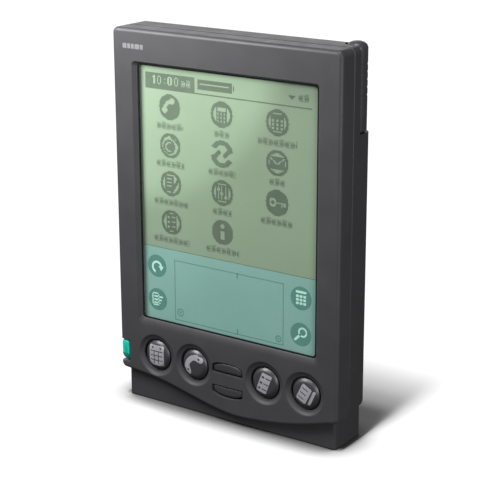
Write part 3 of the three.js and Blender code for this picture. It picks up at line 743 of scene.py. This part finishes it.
def rear_shell():
    seam = SEAM + SEAM_GAP
    bay_low, bay_high = node_box("battery_door")
    pad_low, pad_high = node_box("memory_door")
    bay_x = (bay_low.x + bay_high.x) / 2
    bay_half = 25.2
    body = combine(rear_body(), [foot_body()], "UNION")
    foot_half = FOOT_SIDE - FOOT_WALL
    body = combine(body, [
        slab(inner_outline(), "y", seam - 2, BACK - WALL),
        block(-foot_half, foot_half, FOOT_FRONT + 1.5, FOOT_BACK - FOOT_WALL, FOOT_WALL, SIDE_BOTTOM + 1.7),
        foot_trim(),
    ])
    walls = combine(
        block(bay_x - bay_half - 1.2, bay_x + bay_half + 1.2, -2.6, BACK - WALL + 0.1, 14.2, 41.4),
        [block(bay_x - bay_half, bay_x + bay_half, -3, BACK + 1, 15.6, 40)],
    )
    pad = block(pad_low.x - 1.5, pad_high.x + 1.5, pad_low.y - 1.6, BACK - 1.2, pad_low.z - 1.8, TOP - WALL)
    silo = block(STYLUS[0] - 4.4, SIDE - 0.9, 0.9, BACK - 1.1, 14, TOP - 0.9)
    posts = []
    holes = []
    for name in SCREWS:
        centre = middle(name)
        seat = node_box(name)[1].y - 1.4
        posts.append(rod(2.9, 0.2, seat + 1.2, "y", centre, 32))
        holes.append(rod(2.25, seat - 0.05, BACK + 1, "y", centre, 40))
    body = combine(body, [walls, pad, silo, *posts], "UNION")
    reset = middle("reset_plunger")
    wheel = middle("contrast_wheel")
    wheel_y = node_box("contrast_wheel")[1].y
    label_low = node_box("rear_label")[0]
    play = 0.25
    thumb = 13
    body = combine(body, [
        *holes,
        *silo_tools(),
        slab(rounded_rect(*grown("battery_door", play), 1.3), "y", bay_low.y - 0.1, BACK + 1),
        block(bay_x - bay_half, bay_x + bay_half, 5, BACK + 1, 15.6, 40),
        block(pad_low.x - play, pad_high.x + play, pad_low.y - 0.1, BACK + 1, pad_low.z - play, TOP + 1),
        block(pad_low.x + 3, pad_high.x - 3, 4, BACK + 1, pad_low.z + 3, TOP - 5),
        slab(rounded_rect(*grown("rear_label", 0.3), 1.8), "y", label_low.y - 0.06, BACK + 1),
        rod(0.8, 2, BACK + 1, "y", reset, 24),
        block(-SIDE - 1, wheel[0], wheel_y - 2.8, wheel_y + 0.4, wheel[1] - 6.9, wheel[1] + 6.9),
        rod(thumb, wheel_y - 3.6, wheel_y + 1.2, "y", (-SIDE - thumb + 1.2, wheel[1]), 96),
        block(-13, 13, -2.2, 4.2, -1, FOOT_WALL + 0.1),
    ])
    return body


piece("rear_shell", rear_shell(), "case", shell_rear, ["rear_case"], 0.14)


# ---- doors in the back
def memory_cover():
    low, high = node_box("memory_door")
    x = (low.x + high.x) / 2
    skin = combine(rear_body(), [block(low.x, high.x, low.y, BACK + 1, low.z, TOP + 1)], "INTERSECT")
    grips = [slab(rounded_rect(x - 7, x + 7, low.z + 4 + i * 1.8, low.z + 4.8 + i * 1.8, 0.38, 4), "y",
                  BACK - 0.4, BACK + 1) for i in range(4)]
    return combine(skin, grips)


def battery_cover():
    low, high = node_box("battery_door")
    x = (low.x + high.x) / 2
    panel = slab(rounded_rect(low.x, high.x, low.z, high.z, 1.2), "y", low.y, BACK, 0, 0.2, 3)
    latch = slab(rounded_rect(x - 6, x + 6, high.z - 5.5, high.z - 1.5, 1.5), "y", BACK - 0.5, BACK + 1)
    ribs = [slab(rounded_rect(x - 16, x + 16, z, z + 0.7, 0.34, 4), "y", BACK - 0.25, BACK + 1)
            for z in [low.z + 5 + 2.2 * i for i in range(6)]]
    return combine(panel, [latch, *ribs])


piece("memory_cover_skin", memory_cover(), "memory_cover", shell_rear, ["memory_door"], 0.1)
piece("battery_cover_skin", battery_cover(), "battery_cover", shell_rear, ["battery_door"], 0.1)


# ---- keys
CAP_TOP = FRONT + 0.1


def dome_profile(lift=0.0, steps=14):
    """A round key's face from its middle out: nearly flat, then rounding back at the rim."""
    profile = []
    for i in range(steps + 1):
        t = i / steps
        drop = 0.25 * t**2 + 0.75 * max(0.0, (t - 0.72) / 0.28) ** 2
        profile.append((BUTTON_R * t, CAP_TOP + drop - lift))
    return profile


def button_cap(x, z):
    dome = dome_profile()
    back = node_box("date_button")[1].y
    profile = [*dome, (BUTTON_R, back - 0.6), (BUTTON_R + 1, back - 0.6), (BUTTON_R + 1, back), (0, back)]
    return turned(profile, "y", (x, z), 64)


def prisms(outlines, x, z):
    """Closed outlines round (x, z) pushed right through a key's face, joined where they cross."""
    bodies = [slab([(x + u, z + v) for u, v in outline], "y", FRONT - 2, FRONT + 0.9) for outline in outlines]
    return combine(bodies[0], bodies[1:], "UNION")


def key_mark(light, dark, x, z):
    """A pictogram printed on a round key's dome: light shapes with dark ones left out of them."""
    ink = 0.05
    layer = turned([*dome_profile(ink), (BUTTON_R, FRONT + 1.5), (0, FRONT + 1.5)], "y", (x, z), 64)
    shape = combine(prisms(light, x, z), [layer], "INTERSECT")
    return combine(shape, [slab([(x + u, z + v) for u, v in o], "y", FRONT - 2, FRONT + 2) for o in dark])


def bar(x0, z0, x1, z1, width=0.45):
    """A straight stroke with rounded ends."""
    along = Vector((x1 - x0, z1 - z0))
    turn = math.degrees(math.atan2(along.y, along.x))
    r = width / 2
    return arc(x1, z1, r, turn - 90, turn + 90, 5) + arc(x0, z0, r, turn + 90, turn + 270, 5)


def bow(cx, cz, r, start, end, width=0.45, steps=12):
    """A curved stroke."""
    return arc(cx, cz, r + width / 2, start, end, steps) + arc(cx, cz, r - width / 2, end, start, steps)


def frame_strokes(x0, x1, z0, z1, width=0.4):
    """A rectangle drawn as four strokes."""
    corners = [(x0, z0), (x1, z0), (x1, z1), (x0, z1)]
    return [bar(*a, *b, width) for a, b in zip(corners, corners[1:] + corners[:1])]


def calendar_mark():
    page = rounded_rect(-2.8, 2.8, -3.4, 3.3, 0.6, 4)
    rows = [bar(-2.2, z, 2.2, z, 0.35) for z in (1.3, -0.2, -1.7)]
    columns = [bar(x, 1.3, x, -2.9, 0.3) for x in (-0.95, 0.75)]
    return [page], [*rows, *columns, circle(-1.5, 2.4, 0.35, 12), circle(1.5, 2.4, 0.35, 12)]


def handset_mark():
    grip = bow(1.3, -1.3, 3.9, 88, 182, 1.7, 16)
    ear = bar(0.6, 2.5, 2.6, 1.9, 1.9)
    mouth = bar(-2.5, -0.6, -1.9, -2.6, 1.9)
    return [grip, ear, mouth], [circle(1.9, 2.1, 0.4, 12), circle(-2.1, -1.9, 0.4, 12)]


def checklist_mark():
    page = [(-2.9, -2.6), (0.6, -3.5), (2.9, 2.5), (-0.6, 3.4)]
    gaps = []
    for t in (0.2, 0.5, 0.8):
        x, z = -1.75 + 2.3 * t, -3.0 + 6.0 * t
        gaps.append(bar(x - 0.55, z + 0.1, x - 0.3, z + 0.05, 0.75))
        gaps.append(bar(x + 0.6, z - 0.15, x + 2.1, z - 0.5, 0.4))
    return [soften(page, 0.5, 3)], gaps


def note_mark():
    page = [(-3.0, -1.6), (0.2, -3.3), (2.6, 1.6), (-0.6, 3.3)]
    pen = bar(1.6, -2.9, 3.3, 0.9, 1.0)
    lines = [bar(-2.1 + 0.75 * i, -0.9 + 1.4 * i, -0.4 + 0.75 * i, -1.8 + 1.4 * i, 0.35) for i in range(3)]
    return [soften(page, 0.5, 3), pen], [*lines, bar(1.0, -2.9, 2.5, 0.5, 0.25)]


PICTOGRAMS = dict(zip(BUTTONS, (calendar_mark, handset_mark, checklist_mark, note_mark)))
KEY_BODIES = dict(zip(BUTTONS, ("date_key", "contacts_key", "tasks_key", "notes_key")))

for name in BUTTONS:
    x, z = middle(name)
    body = KEY_BODIES[name]
    piece(body + "_cap", button_cap(x, z), body, key_black, [name], sharp=40)
    piece(body + "_print", key_mark(*PICTOGRAMS[name](), x, z), body, key_print, sharp=40)


def scroll_cap(side):
    back = node_box("scroll_up_button")[1].y
    outline = scroll_outline(side)
    rings = []
    for t in [i / 6 for i in range(7)]:
        a = t * math.pi / 2
        ring = inset(outline, 0.9 * (1 - math.sin(a)))
        rings.append(place(ring, "y", FRONT + 0.25 + 0.7 * (1 - math.cos(a))))
    rings.append(place(outline, "y", back - 0.6))
    wide = inset(outline, -0.7)
    rings += [place(wide, "y", back - 0.6), place(wide, "y", back)]
    return loft(rings)


for side, name in ((1, "scroll_up"), (-1, "scroll_down")):
    piece(name + "_cap", scroll_cap(side), name + "_key", key_black, [name + "_button"], sharp=50)


def power_key():
    low, high = node_box("power_button")
    outline = rounded_rect(-SIDE + 0.3, -37.15, low.z, high.z, 0.9, 6)
    head = slab(outline, "y", FRONT + 0.15, high.y - 1.2, 0.7, 0.3, 5)
    facet = [(FRONT - 1, low.z + 4.3), (FRONT - 1, low.z - 1), (FRONT + 2.2, low.z - 1)]
    slope = loft([place(facet, "x", -50), place(facet, "x", -30)])
    stem = block(-39.6, -37.4, high.y - 1.4, high.y, low.z + 0.8, high.z - 0.8)
    return combine(combine(head, [slope]), [stem], "UNION")


piece("power_cap", power_key(), "power_key", key_green, ["power_button"], 0.12)


def contrast_wheel():
    low, high = node_box("contrast_wheel")
    x, z = middle("contrast_wheel")
    r = (high.x - low.x) / 2
    teeth = 44
    rim = []
    for i in range(teeth):
        turn = 2 * math.pi / teeth
        rim += [(x + q * math.cos(turn * (i + t)), z + q * math.sin(turn * (i + t))) for t, q in
                ((0, r - 0.3), (0.25, r), (0.6, r))]
    pin = rod(1.5, low.y, high.y - 1, "y", (x, z), 24)
    floor = high.y - 0.4
    rim_top = high.y + 0.5
    dish = turned([(0, floor), (3.6, floor), (4.4, rim_top), (0, rim_top)], "y", (x, z), 40)
    return combine(combine(slab(rim, "y", high.y - 2.4, high.y, 0.2, 0.2, 3), [pin], "UNION"), [dish])


piece("contrast_wheel_knurl", contrast_wheel(), "contrast_dial", key_black, ["contrast_wheel"])


# ---- stylus
def stylus_head():
    low, high = node_box("stylus_head")
    r = 3.1
    rings = [(0, high.z), (1.2, high.z - 0.05), (2.1, high.z - 0.35), (2.8, high.z - 1.0), (r, high.z - 1.8)]
    for i in range(5):
        z = high.z - 6 - i * 2.2
        rings += [(r, z), (r - 0.1, z - 0.25), (r - 0.1, z - 0.5), (r, z - 0.75)]
    rings += [(r, low.z + 0.3), (r - 0.3, low.z), (0, low.z)]
    return turned(rings, "z", STYLUS, 48)


def stylus_barrel():
    low, high = node_box("stylus_barrel")
    rings = [(0, high.z), (2.2, high.z), (2.3, high.z - 0.3), (2.3, low.z + 3), (2.15, low.z + 1)]
    rings += [(2.0, low.z), (0, low.z)]
    return turned(rings, "z", STYLUS, 40)


def stylus_tip():
    low, high = node_box("stylus_tip")
    rings = [(0, low.z), (0.3, low.z + 0.05), (0.5, low.z + 0.3), (0.75, low.z + 1.2)]
    rings += [(1.8, low.z + 7), (1.8, high.z), (0, high.z)]
    return turned(rings, "z", STYLUS, 40)


piece("stylus_cap", stylus_head(), "stylus", stylus_black, ["stylus_head"], sharp=50)
piece("stylus_shaft", stylus_barrel(), "stylus", stylus_black, ["stylus_barrel"], sharp=50)
piece("stylus_point", stylus_tip(), "stylus", tip_black, ["stylus_tip"], sharp=50)


# ---- display: switched-on cells
class Cells:
    """The display's dark cells, drawn with simple shapes round a place. Columns run right and rows down."""

    def __init__(self):
        self.on = set()
        self.move(0, 0)

    def move(self, column, row):
        """Sets the place that the next shapes are drawn round."""
        self.column = column
        self.row = row

    def fill(self, test, c0, c1, r0, r1, value=True):
        for c in range(math.floor(c0), math.ceil(c1) + 1):
            for r in range(math.floor(r0), math.ceil(r1) + 1):
                if test(c + 0.5, r + 0.5):
                    self.on.add((c, r)) if value else self.on.discard((c, r))

    def box(self, c0, r0, c1, r1, value=True):
        c0, c1 = self.column + c0, self.column + c1
        r0, r1 = self.row + r0, self.row + r1
        self.fill(lambda c, r: c0 <= c <= c1 and r0 <= r <= r1, c0, c1, r0, r1, value)

    def disc(self, cc, cr, radius, value=True):
        cc, cr = self.column + cc, self.row + cr
        test = lambda c, r: math.hypot(c - cc, r - cr) <= radius
        self.fill(test, cc - radius, cc + radius, cr - radius, cr + radius, value)

    def ring(self, radius, width=2.6):
        cc, cr = self.column, self.row
        test = lambda c, r: radius - width <= math.hypot(c - cc, r - cr) <= radius
        self.fill(test, cc - radius, cc + radius, cr - radius, cr + radius)

    def line(self, c0, r0, c1, r1, width=1.2, value=True):
        c0, c1 = self.column + c0, self.column + c1
        r0, r1 = self.row + r0, self.row + r1
        a, b = Vector((c0, r0)), Vector((c1, r1))
        along = b - a

        def near(c, r):
            p = Vector((c, r)) - a
            t = max(0.0, min(1.0, p.dot(along) / max(along.length_squared, 1e-6)))
            return (p - along * t).length <= width / 2

        edge = width / 2 + 1
        self.fill(near, min(c0, c1) - edge, max(c0, c1) + edge, min(r0, r1) - edge, max(r0, r1) + edge, value)

    def sweep(self, cc, cr, radius, start, end, width=1.4, value=True):
        """An arc from start to end degrees, counter-clockwise from the right."""
        cc, cr = self.column + cc, self.row + cr

        def near(c, r):
            turn = math.degrees(math.atan2(cr - r, c - cc)) % 360
            inside = start <= turn <= end or start <= turn + 360 <= end
            return inside and abs(math.hypot(c - cc, r - cr) - radius) <= width / 2

        edge = radius + width
        self.fill(near, cc - edge, cc + edge, cr - edge, cr + edge, value)

    def words(self, centre, row, width, value=True):
        """A caption as a grey bar of every other cell, in blocks with no lettering."""
        left = round(centre - width / 2)
        first = math.floor(row)
        for i in range(round(width)):
            if i % 5 == 4:
                continue
            rise = 1 if (i // 5) % 3 == 1 else 0
            for r in range(first - rise, first + 5):
                if (i + r) % 2 == 0 or r == first + 2:
                    self.box(left + i, r, left + i + 0.99, r + 0.99, value)

    def bodies(self, face):
        """Runs of dark cells as thin bodies just in front of the display's face."""
        whole = bmesh.new()
        rows = {}
        for c, r in self.on:
            rows.setdefault(r, []).append(c)
        for r, columns in sorted(rows.items()):
            columns.sort()
            start = columns[0]
            for c, following in zip(columns, columns[1:] + [None]):
                if following == c + 1:
                    continue
                add_run(whole, start, c + 1, r, face)
                start = following
        return whole


def add_run(bm, c0, c1, r, face):
    x0, x1 = LCD_LEFT + c0 * PITCH, LCD_LEFT + c1 * PITCH
    z1, z0 = LCD_TOP - r * PITCH, LCD_TOP - (r + 1) * PITCH
    corners = [(x0, z0), (x1, z0), (x1, z1), (x0, z1)]
    front = [bm.verts.new((x, face - 0.03, z)) for x, z in corners]
    back = [bm.verts.new((x, face - 0.002, z)) for x, z in corners]
    bm.faces.new(front)
    bm.faces.new(list(reversed(back)))
    for i in range(4):
        j = (i + 1) % 4
        bm.faces.new((front[j], front[i], back[i], back[j]))


def digit_one(cells, c, r):
    cells.move(c, r)
    cells.box(1, 0, 2.99, 6.99, False)
    cells.box(0, 1, 0.99, 1.99, False)


def digit_zero(cells, c, r):
    cells.move(c, r)
    cells.box(0, 1, 1.49, 5.99, False)
    cells.box(3, 1, 4.49, 5.99, False)
    cells.box(1, 0, 3.49, 0.99, False)
    cells.box(1, 6, 3.49, 6.99, False)


def icon_handset(cells):
    cells.disc(0, 0, ICON_R)
    cells.sweep(3, 3, 8, 95, 175, 3.2, False)
    cells.disc(2.5, -5, 2.6, False)
    cells.disc(-5, 2.5, 2.6, False)


def icon_coin(cells):
    cells.ring(ICON_R)
    cells.disc(-1, 1, 6)
    cells.sweep(-1, 1, 3.5, 60, 300, 1.2, False)
    cells.line(1, -8, 8, -2, 2)


def icon_memo(cells):
    cells.ring(ICON_R)
    cells.box(-6, -6, 3, 6)
    for row in (-4, -1, 2):
        cells.box(-4, row, 1, row + 0.99, False)
    cells.line(1, 6, 7, -3, 2.6)


def icon_tasks(cells):
    cells.ring(ICON_R)
    cells.box(-5, -7, 5, 7)
    for row in (-5, -1, 3):
        cells.box(-3.5, row, -1.6, row + 1.99, False)
        cells.box(0, row, 3.5, row + 0.99, False)


def icon_calculator(cells):
    cells.ring(ICON_R)
    cells.box(-5, -7, 5, 7)
    cells.box(-3.5, -5.5, 3.5, -3, False)
    for row in (-1, 2, 5):
        for column in (-4, -1, 2):
            cells.box(column, row, column + 1.4, row + 1.4, False)


def icon_loop(cells):
    for start, side in ((10, 1), (190, -1)):
        cells.sweep(0, 0, 9, start, start + 140, 4)
        cells.line(side * 8.5, -side * 4, side * 3, side, 3.4)


def icon_sliders(cells):
    cells.ring(ICON_R)
    cells.box(-6, -6, 6, 6)
    for i, column in enumerate((-4, -0.5, 3)):
        cells.box(column, -5, column + 0.9, 5, False)
        cells.box(column - 1, -3 + i * 3, column + 1.9, -1.6 + i * 3, False)


def icon_hand(cells):
    cells.disc(0, 0, ICON_R)
    cells.box(-1.5, -1, 1.5, 6, False)
    cells.disc(0, -5, 1.9, False)


def icon_calendar(cells):
    cells.ring(ICON_R)
    cells.box(-6, -6, 6, 6)
    for row in (-2, 1, 4):
        for column in (-4.5, -0.7, 3):
            cells.box(column, row, column + 1.8, row + 1.2, False)


def icon_mail(cells):
    cells.ring(ICON_R)
    cells.box(-7, -4.5, 7, 5)
    for side in (-1, 1):
        cells.line(side * 6, -3.5, 0, 1, 1.2, False)


def icon_key(cells):
    cells.disc(0, 0, ICON_R)
    cells.sweep(-4, 0, 2.6, 0, 360, 1.6, False)
    cells.box(-1, -0.7, 7.5, 0.9, False)
    cells.box(4, 0, 5, 3, False)
    cells.box(6.5, 0, 7.5, 2.4, False)


def draw_display():
    cells = Cells()
    # title bar: a clock, a battery gauge, and the rule under them
    cells.box(0, 0, 49, 11.99)
    digit_one(cells, 7, 2)
    for column in (12, 22.5, 29):
        digit_zero(cells, column, 2)
    cells.move(0, 0)
    cells.box(19, 4, 20.4, 5, False)
    cells.box(19, 7, 20.4, 8, False)
    cells.words(40.5, 4, 10, False)
    cells.box(52, 1, 85, 8.99)
    cells.box(54, 4, 82, 5.4, False)
    cells.box(86, 3, 87, 6.99)
    cells.box(0, 12, COLUMNS - 2, 13)
    for i in range(4):
        cells.box(137 + i, 4 + i, 143 - i, 4.99 + i)
    cells.words(151, 3, 10)
    columns = (24, 75, 127)
    rows = (26.5, 58, 89.5, 122)
    captions = (42, 73.5, 105, 137)
    icons = (
        (icon_handset, icon_coin, icon_memo, icon_tasks),
        (icon_calculator, icon_loop, icon_sliders, icon_hand),
        (icon_calendar, icon_mail, icon_key),
    )
    widths = ((26, 28, 34, 36), (14, 26, 18, 32), (36, 14, 30))
    for column, drawn, wide in zip(columns, icons, widths):
        for icon, row, caption, width in zip(drawn, rows, captions, wide):
            cells.move(column, row)
            icon(cells)
            cells.move(0, 0)
            cells.words(column, caption - 2, width)
    return cells.bodies(LCD_FACE)


piece("lcd_dots", draw_display(), "case", lcd_dark)


# ---- marks printed on the writing area
def flat_marks(strokes, face, lift=0.0):
    """Closed outlines as thin printed layers in front of a face."""
    front = face - 0.03 - lift
    return merged(*[slab(outline, "y", front, front + 0.02) for outline in strokes])


def shifted(outlines, x, z):
    return [[(x + u, z + v) for u, v in outline] for outline in outlines]


def writing_frame():
    left, right, bottom, top = -20, 20, 29.1, 48.3
    line = 0.22
    strokes = frame_strokes(left, right, bottom, top, line)
    tick = 3.5
    strokes += [bar(tick, top, tick, top - 1.4, 0.4), bar(tick, bottom, tick, bottom + 1.4, 0.4)]
    for x, z, r, dot in ((left + 2, bottom + 2.6, 1.1, 0.35), (right - 1.6, bottom + 1.7, 0.9, 0.3)):
        strokes += [bow(x, z, r, 0, 350, 0.3, 24), circle(x, z, dot, 12)]
    return strokes


SOFT_KEYS = {"home": (-26.9, 45.3), "menu": (-26.9, 34.3), "count": (26.2, 45.0), "find": (26.2, 33.8)}
SOFT_R = 3.6
home_strokes = [bow(0, -0.4, 1.7, 20, 250, 0.7, 20), [(0.6, 0.1), (2.6, 0.1), (1.6, -1.5)]]
menu_lines = [bar(-1.2, z, x, z, 0.5) for z, x in ((0.9, 1.9), (-0.2, 1.4), (-1.2, 0.8))]
menu_strokes = [*frame_strokes(-1.9, 0.4, -1.9, 1.9, 0.4), *menu_lines]
count_strokes = [rounded_rect(-1.7 + 1.25 * i, -0.75 + 1.25 * i, -2 + 1.1 * j, -1.25 + 1.1 * j, 0.1, 2)
                 for i in range(3) for j in range(3)] + [bar(-1.5, 1.9, 1.6, 1.9, 0.7)]
find_strokes = [bow(0.7, 0.7, 1.3, 0, 355, 0.55, 24), bar(-0.3, -0.3, -1.9, -1.9, 0.8)]
soft_strokes = {"home": home_strokes, "menu": menu_strokes, "count": count_strokes, "find": find_strokes}

dark_marks = writing_frame() + [circle(x, z, SOFT_R, 48) for x, z in SOFT_KEYS.values()]
light_marks = []
for name, (x, z) in SOFT_KEYS.items():
    light_marks += shifted(soft_strokes[name], x, z)


def plain_marks(x, z, widths, tall, gap):
    """A row of plain blocks that starts at x, in place of lettering."""
    blocks = []
    for w in widths:
        blocks.append(rounded_rect(x, x + w, z, z + tall, 0.2, 2))
        x += w + gap
    return blocks


def label_marks():
    low, high = node_box("rear_label")
    lines = []
    for i in range(4):
        lines += plain_marks(low.x + 2.5, high.z - 3.2 - 2.2 * i, (7, 4, 9, 3 + i), 1.0, 1.2)
    return merged(*[slab(outline, "y", high.y - 0.005, high.y + 0.02) for outline in lines])


front_marks = plain_marks(-36.4, 112.9, (1.5, 1.1, 1.1, 1.7, 1.1), 1.5, 0.3)
piece("front_marks", flat_marks(front_marks, FRONT + 0.015), "case", maker_print)
piece("label_lines", label_marks(), "case", label_ink)
piece("writing_marks", flat_marks(dark_marks, TEAL_FACE), "case", teal_ink)
piece("writing_icons", flat_marks(light_marks, TEAL_FACE, lift=0.03), "case", teal_light)


# ---- finishes on the CAD pieces that stay
def dress(name, material, bevel=0.0):
    o = nodes[name]
    o.data.materials.clear()
    o.data.materials.append(material)
    if bevel:
        flat = o.modifiers.new("flat", "DECIMATE")
        flat.decimate_type = "DISSOLVE"
        flat.angle_limit = math.radians(1)
        edge = o.modifiers.new("edge", "BEVEL")
        edge.width = bevel * MM
        edge.segments = 2
        edge.limit_method = "ANGLE"
        edge.angle_limit = math.radians(35)
        weigh = o.modifiers.new("normals", "WEIGHTED_NORMAL")
        weigh.keep_sharp = True


FINISHES = {
    foam_black: ["window_gasket"],
    touch_film: ["touch_panel"],
    lcd_green: ["lcd_cell"],
    writing_teal: ["writing_area_sheet"],
    glow_white: ["backlight_sheet"],
    frame_metal: ["display_frame"],
    flex_amber: ["display_ribbon"],
    board_green: ["main_board", "memory_card"],
    chip_black: ["processor_chip", "memory_chip_1", "memory_chip_2", "memory_socket", "dock_connector",
                 "reset_switch"],
    steel: ["backup_capacitor", "crystal_can", "contrast_pot", "battery_spring_lower", "battery_spring_upper",
            "contact_minus", "contact_plus", "contact_bridge", *SCREWS],
    brass: ["speaker_disc", "dock_contacts"],
    rubber_grey: ["keypad_sheet"],
    wrap: ["battery_lower", "battery_upper"],
    key_black: ["reset_plunger"],
    label_paper: ["rear_label"],
}
BEVELLED = {
    "processor_chip": 0.2, "memory_chip_1": 0.15, "memory_chip_2": 0.15, "memory_socket": 0.2,
    "memory_card": 0.1, "main_board": 0.1, "dock_connector": 0.2, "reset_switch": 0.15,
    "keypad_sheet": 0.2, "display_frame": 0.15, "touch_panel": 0.12, "lcd_cell": 0.05,
    "crystal_can": 0.4, "backup_capacitor": 0.4, "battery_lower": 0.4, "battery_upper": 0.4,
}
for material, names in FINISHES.items():
    for name in names:
        dress(name, material, BEVELLED.get(name, 0.0))


# ---- stage, light and camera
def stage_floor():
    bm = bmesh.new()
    bmesh.ops.create_grid(bm, x_segments=1, y_segments=1, size=6)
    mesh = bpy.data.meshes.new("floor")
    bm.to_mesh(mesh)
    bm.free()
    floor = bpy.data.objects.new("floor", mesh)
    floor.location.z = -0.0001
    scene.collection.objects.link(floor)
    n = Nodes("floor_white_painted_shadow")
    # Painted contact shadow: within 10 mm of the device the floor's colour darkens towards dark grey, driven
    # by ambient occlusion. Away from it the floor is an even white.
    contact = n.add("ShaderNodeAmbientOcclusion", samples=12)
    contact.inputs["Distance"].default_value = 10 * MM
    outside_painted_shadow = n.ramp(contact.outputs["AO"], 0.5, 0.97)
    plain = n.mix(n.ramp(n.noise(200), 0.3, 0.7), (0.94, 0.94, 0.94), (0.96, 0.96, 0.96))
    n.link(n.mix(outside_painted_shadow, (0.16, 0.16, 0.16), plain), n.shader.inputs["Base Color"])
    n.shader.inputs["Roughness"].default_value = 0.9
    n.shader.inputs["Specular IOR Level"].default_value = 0.1
    mesh.materials.append(n.material)
    floor.visible_diffuse = False
    floor.visible_glossy = False
    return floor


def lamp(name, kind, energy, location, target, **values):
    data = bpy.data.lights.new(name, kind)
    data.energy = energy
    for key, value in values.items():
        setattr(data, key, value)
    made = bpy.data.objects.new(name, data)
    made.location = Vector(location) * MM
    aim = (Vector(target) - Vector(location)).normalized()
    made.rotation_mode = "QUATERNION"
    made.rotation_quaternion = aim.to_track_quat("-Z", "Y")
    made.visible_camera = False
    scene.collection.objects.link(made)
    return made


def spare(floor, lamps):
    """Keeps these lamps off the floor, so that it stays evenly lit."""
    group = bpy.data.collections.new("spared_floor")
    group.objects.link(floor)
    group.collection_objects[0].light_linking.link_state = "EXCLUDE"
    for each in lamps:
        each.light_linking.receiver_collection = group


def surroundings(glow, background):
    """Even light from all round, behind a paler backdrop that only the camera sees."""
    world = bpy.data.worlds.new("studio")
    world.use_nodes = True
    tree = world.node_tree
    back = tree.nodes["Background"]
    back.inputs["Color"].default_value = (1, 1, 1, 1)
    seen = tree.nodes.new("ShaderNodeLightPath").outputs["Is Camera Ray"]
    choose = tree.nodes.new("ShaderNodeMix")
    choose.inputs[2].default_value = glow
    choose.inputs[3].default_value = background
    tree.links.new(seen, choose.inputs[0])
    tree.links.new(choose.outputs[0], back.inputs["Strength"])
    scene.world = world


def camera():
    """Three-quarter view from the right, a little above."""
    azimuth, elevation, roll = (math.radians(a) for a in (35.06, 16.96, -0.24))
    distance = 443.4
    right_shift, up_shift = 0.26, -3.14
    flat = math.cos(elevation)
    back = Vector((math.sin(azimuth) * flat, -math.cos(azimuth) * flat, math.sin(elevation)))
    right = Vector((math.cos(azimuth), math.sin(azimuth), 0))
    up = back.cross(right)
    across = right * math.cos(roll) + up * math.sin(roll)
    upward = up * math.cos(roll) - right * math.sin(roll)
    target = Vector((0, 0, 60)) + across * right_shift + upward * up_shift
    data = bpy.data.cameras.new("camera")
    data.sensor_width = 36
    data.lens = 110.44
    made = bpy.data.objects.new("camera", data)
    turn = Matrix((across, upward, back)).transposed().to_4x4()
    made.matrix_world = Matrix.Translation((target + back * distance) * MM) @ turn
    scene.collection.objects.link(made)
    scene.camera = made


floor = stage_floor()
surroundings(0.14, 0.93)
for height in (740, 905, 1190, 1780):
    lamp("key_%d" % height, "SUN", 0.84, (0, -330, height), (0, 0, 0), angle=math.radians(5))
spare(floor, [
    lamp("softbox", "AREA", 0.62, (-82, -92, 168), (-20, 0, 90), shape="RECTANGLE", size=0.08, size_y=0.08),
    lamp("rim", "AREA", 0.75, (-330, 480, 260), (0, 0, 110), shape="RECTANGLE", size=0.5, size_y=0.2),
    lamp("strip", "AREA", 0.62, (300, -210, 110), (20, 0, 90), shape="RECTANGLE", size=0.03, size_y=0.3),
    lamp("edge", "AREA", 0.35, (270, -150, 110), (40, -8, 100), shape="RECTANGLE", size=0.05, size_y=0.1),
])
patch = lamp("patch", "SPOT", 5.2, (-40, -350, 125), (-40, 0, 125),
             spot_size=math.radians(21.5), spot_blend=0.35)
display_only = bpy.data.collections.new("display_only")
display_only.objects.link(nodes["lcd_cell"])
display_only.objects.link(bpy.data.objects["lcd_dots"])
patch.light_linking.receiver_collection = display_only
camera()
scene.view_settings.view_transform = "Standard"
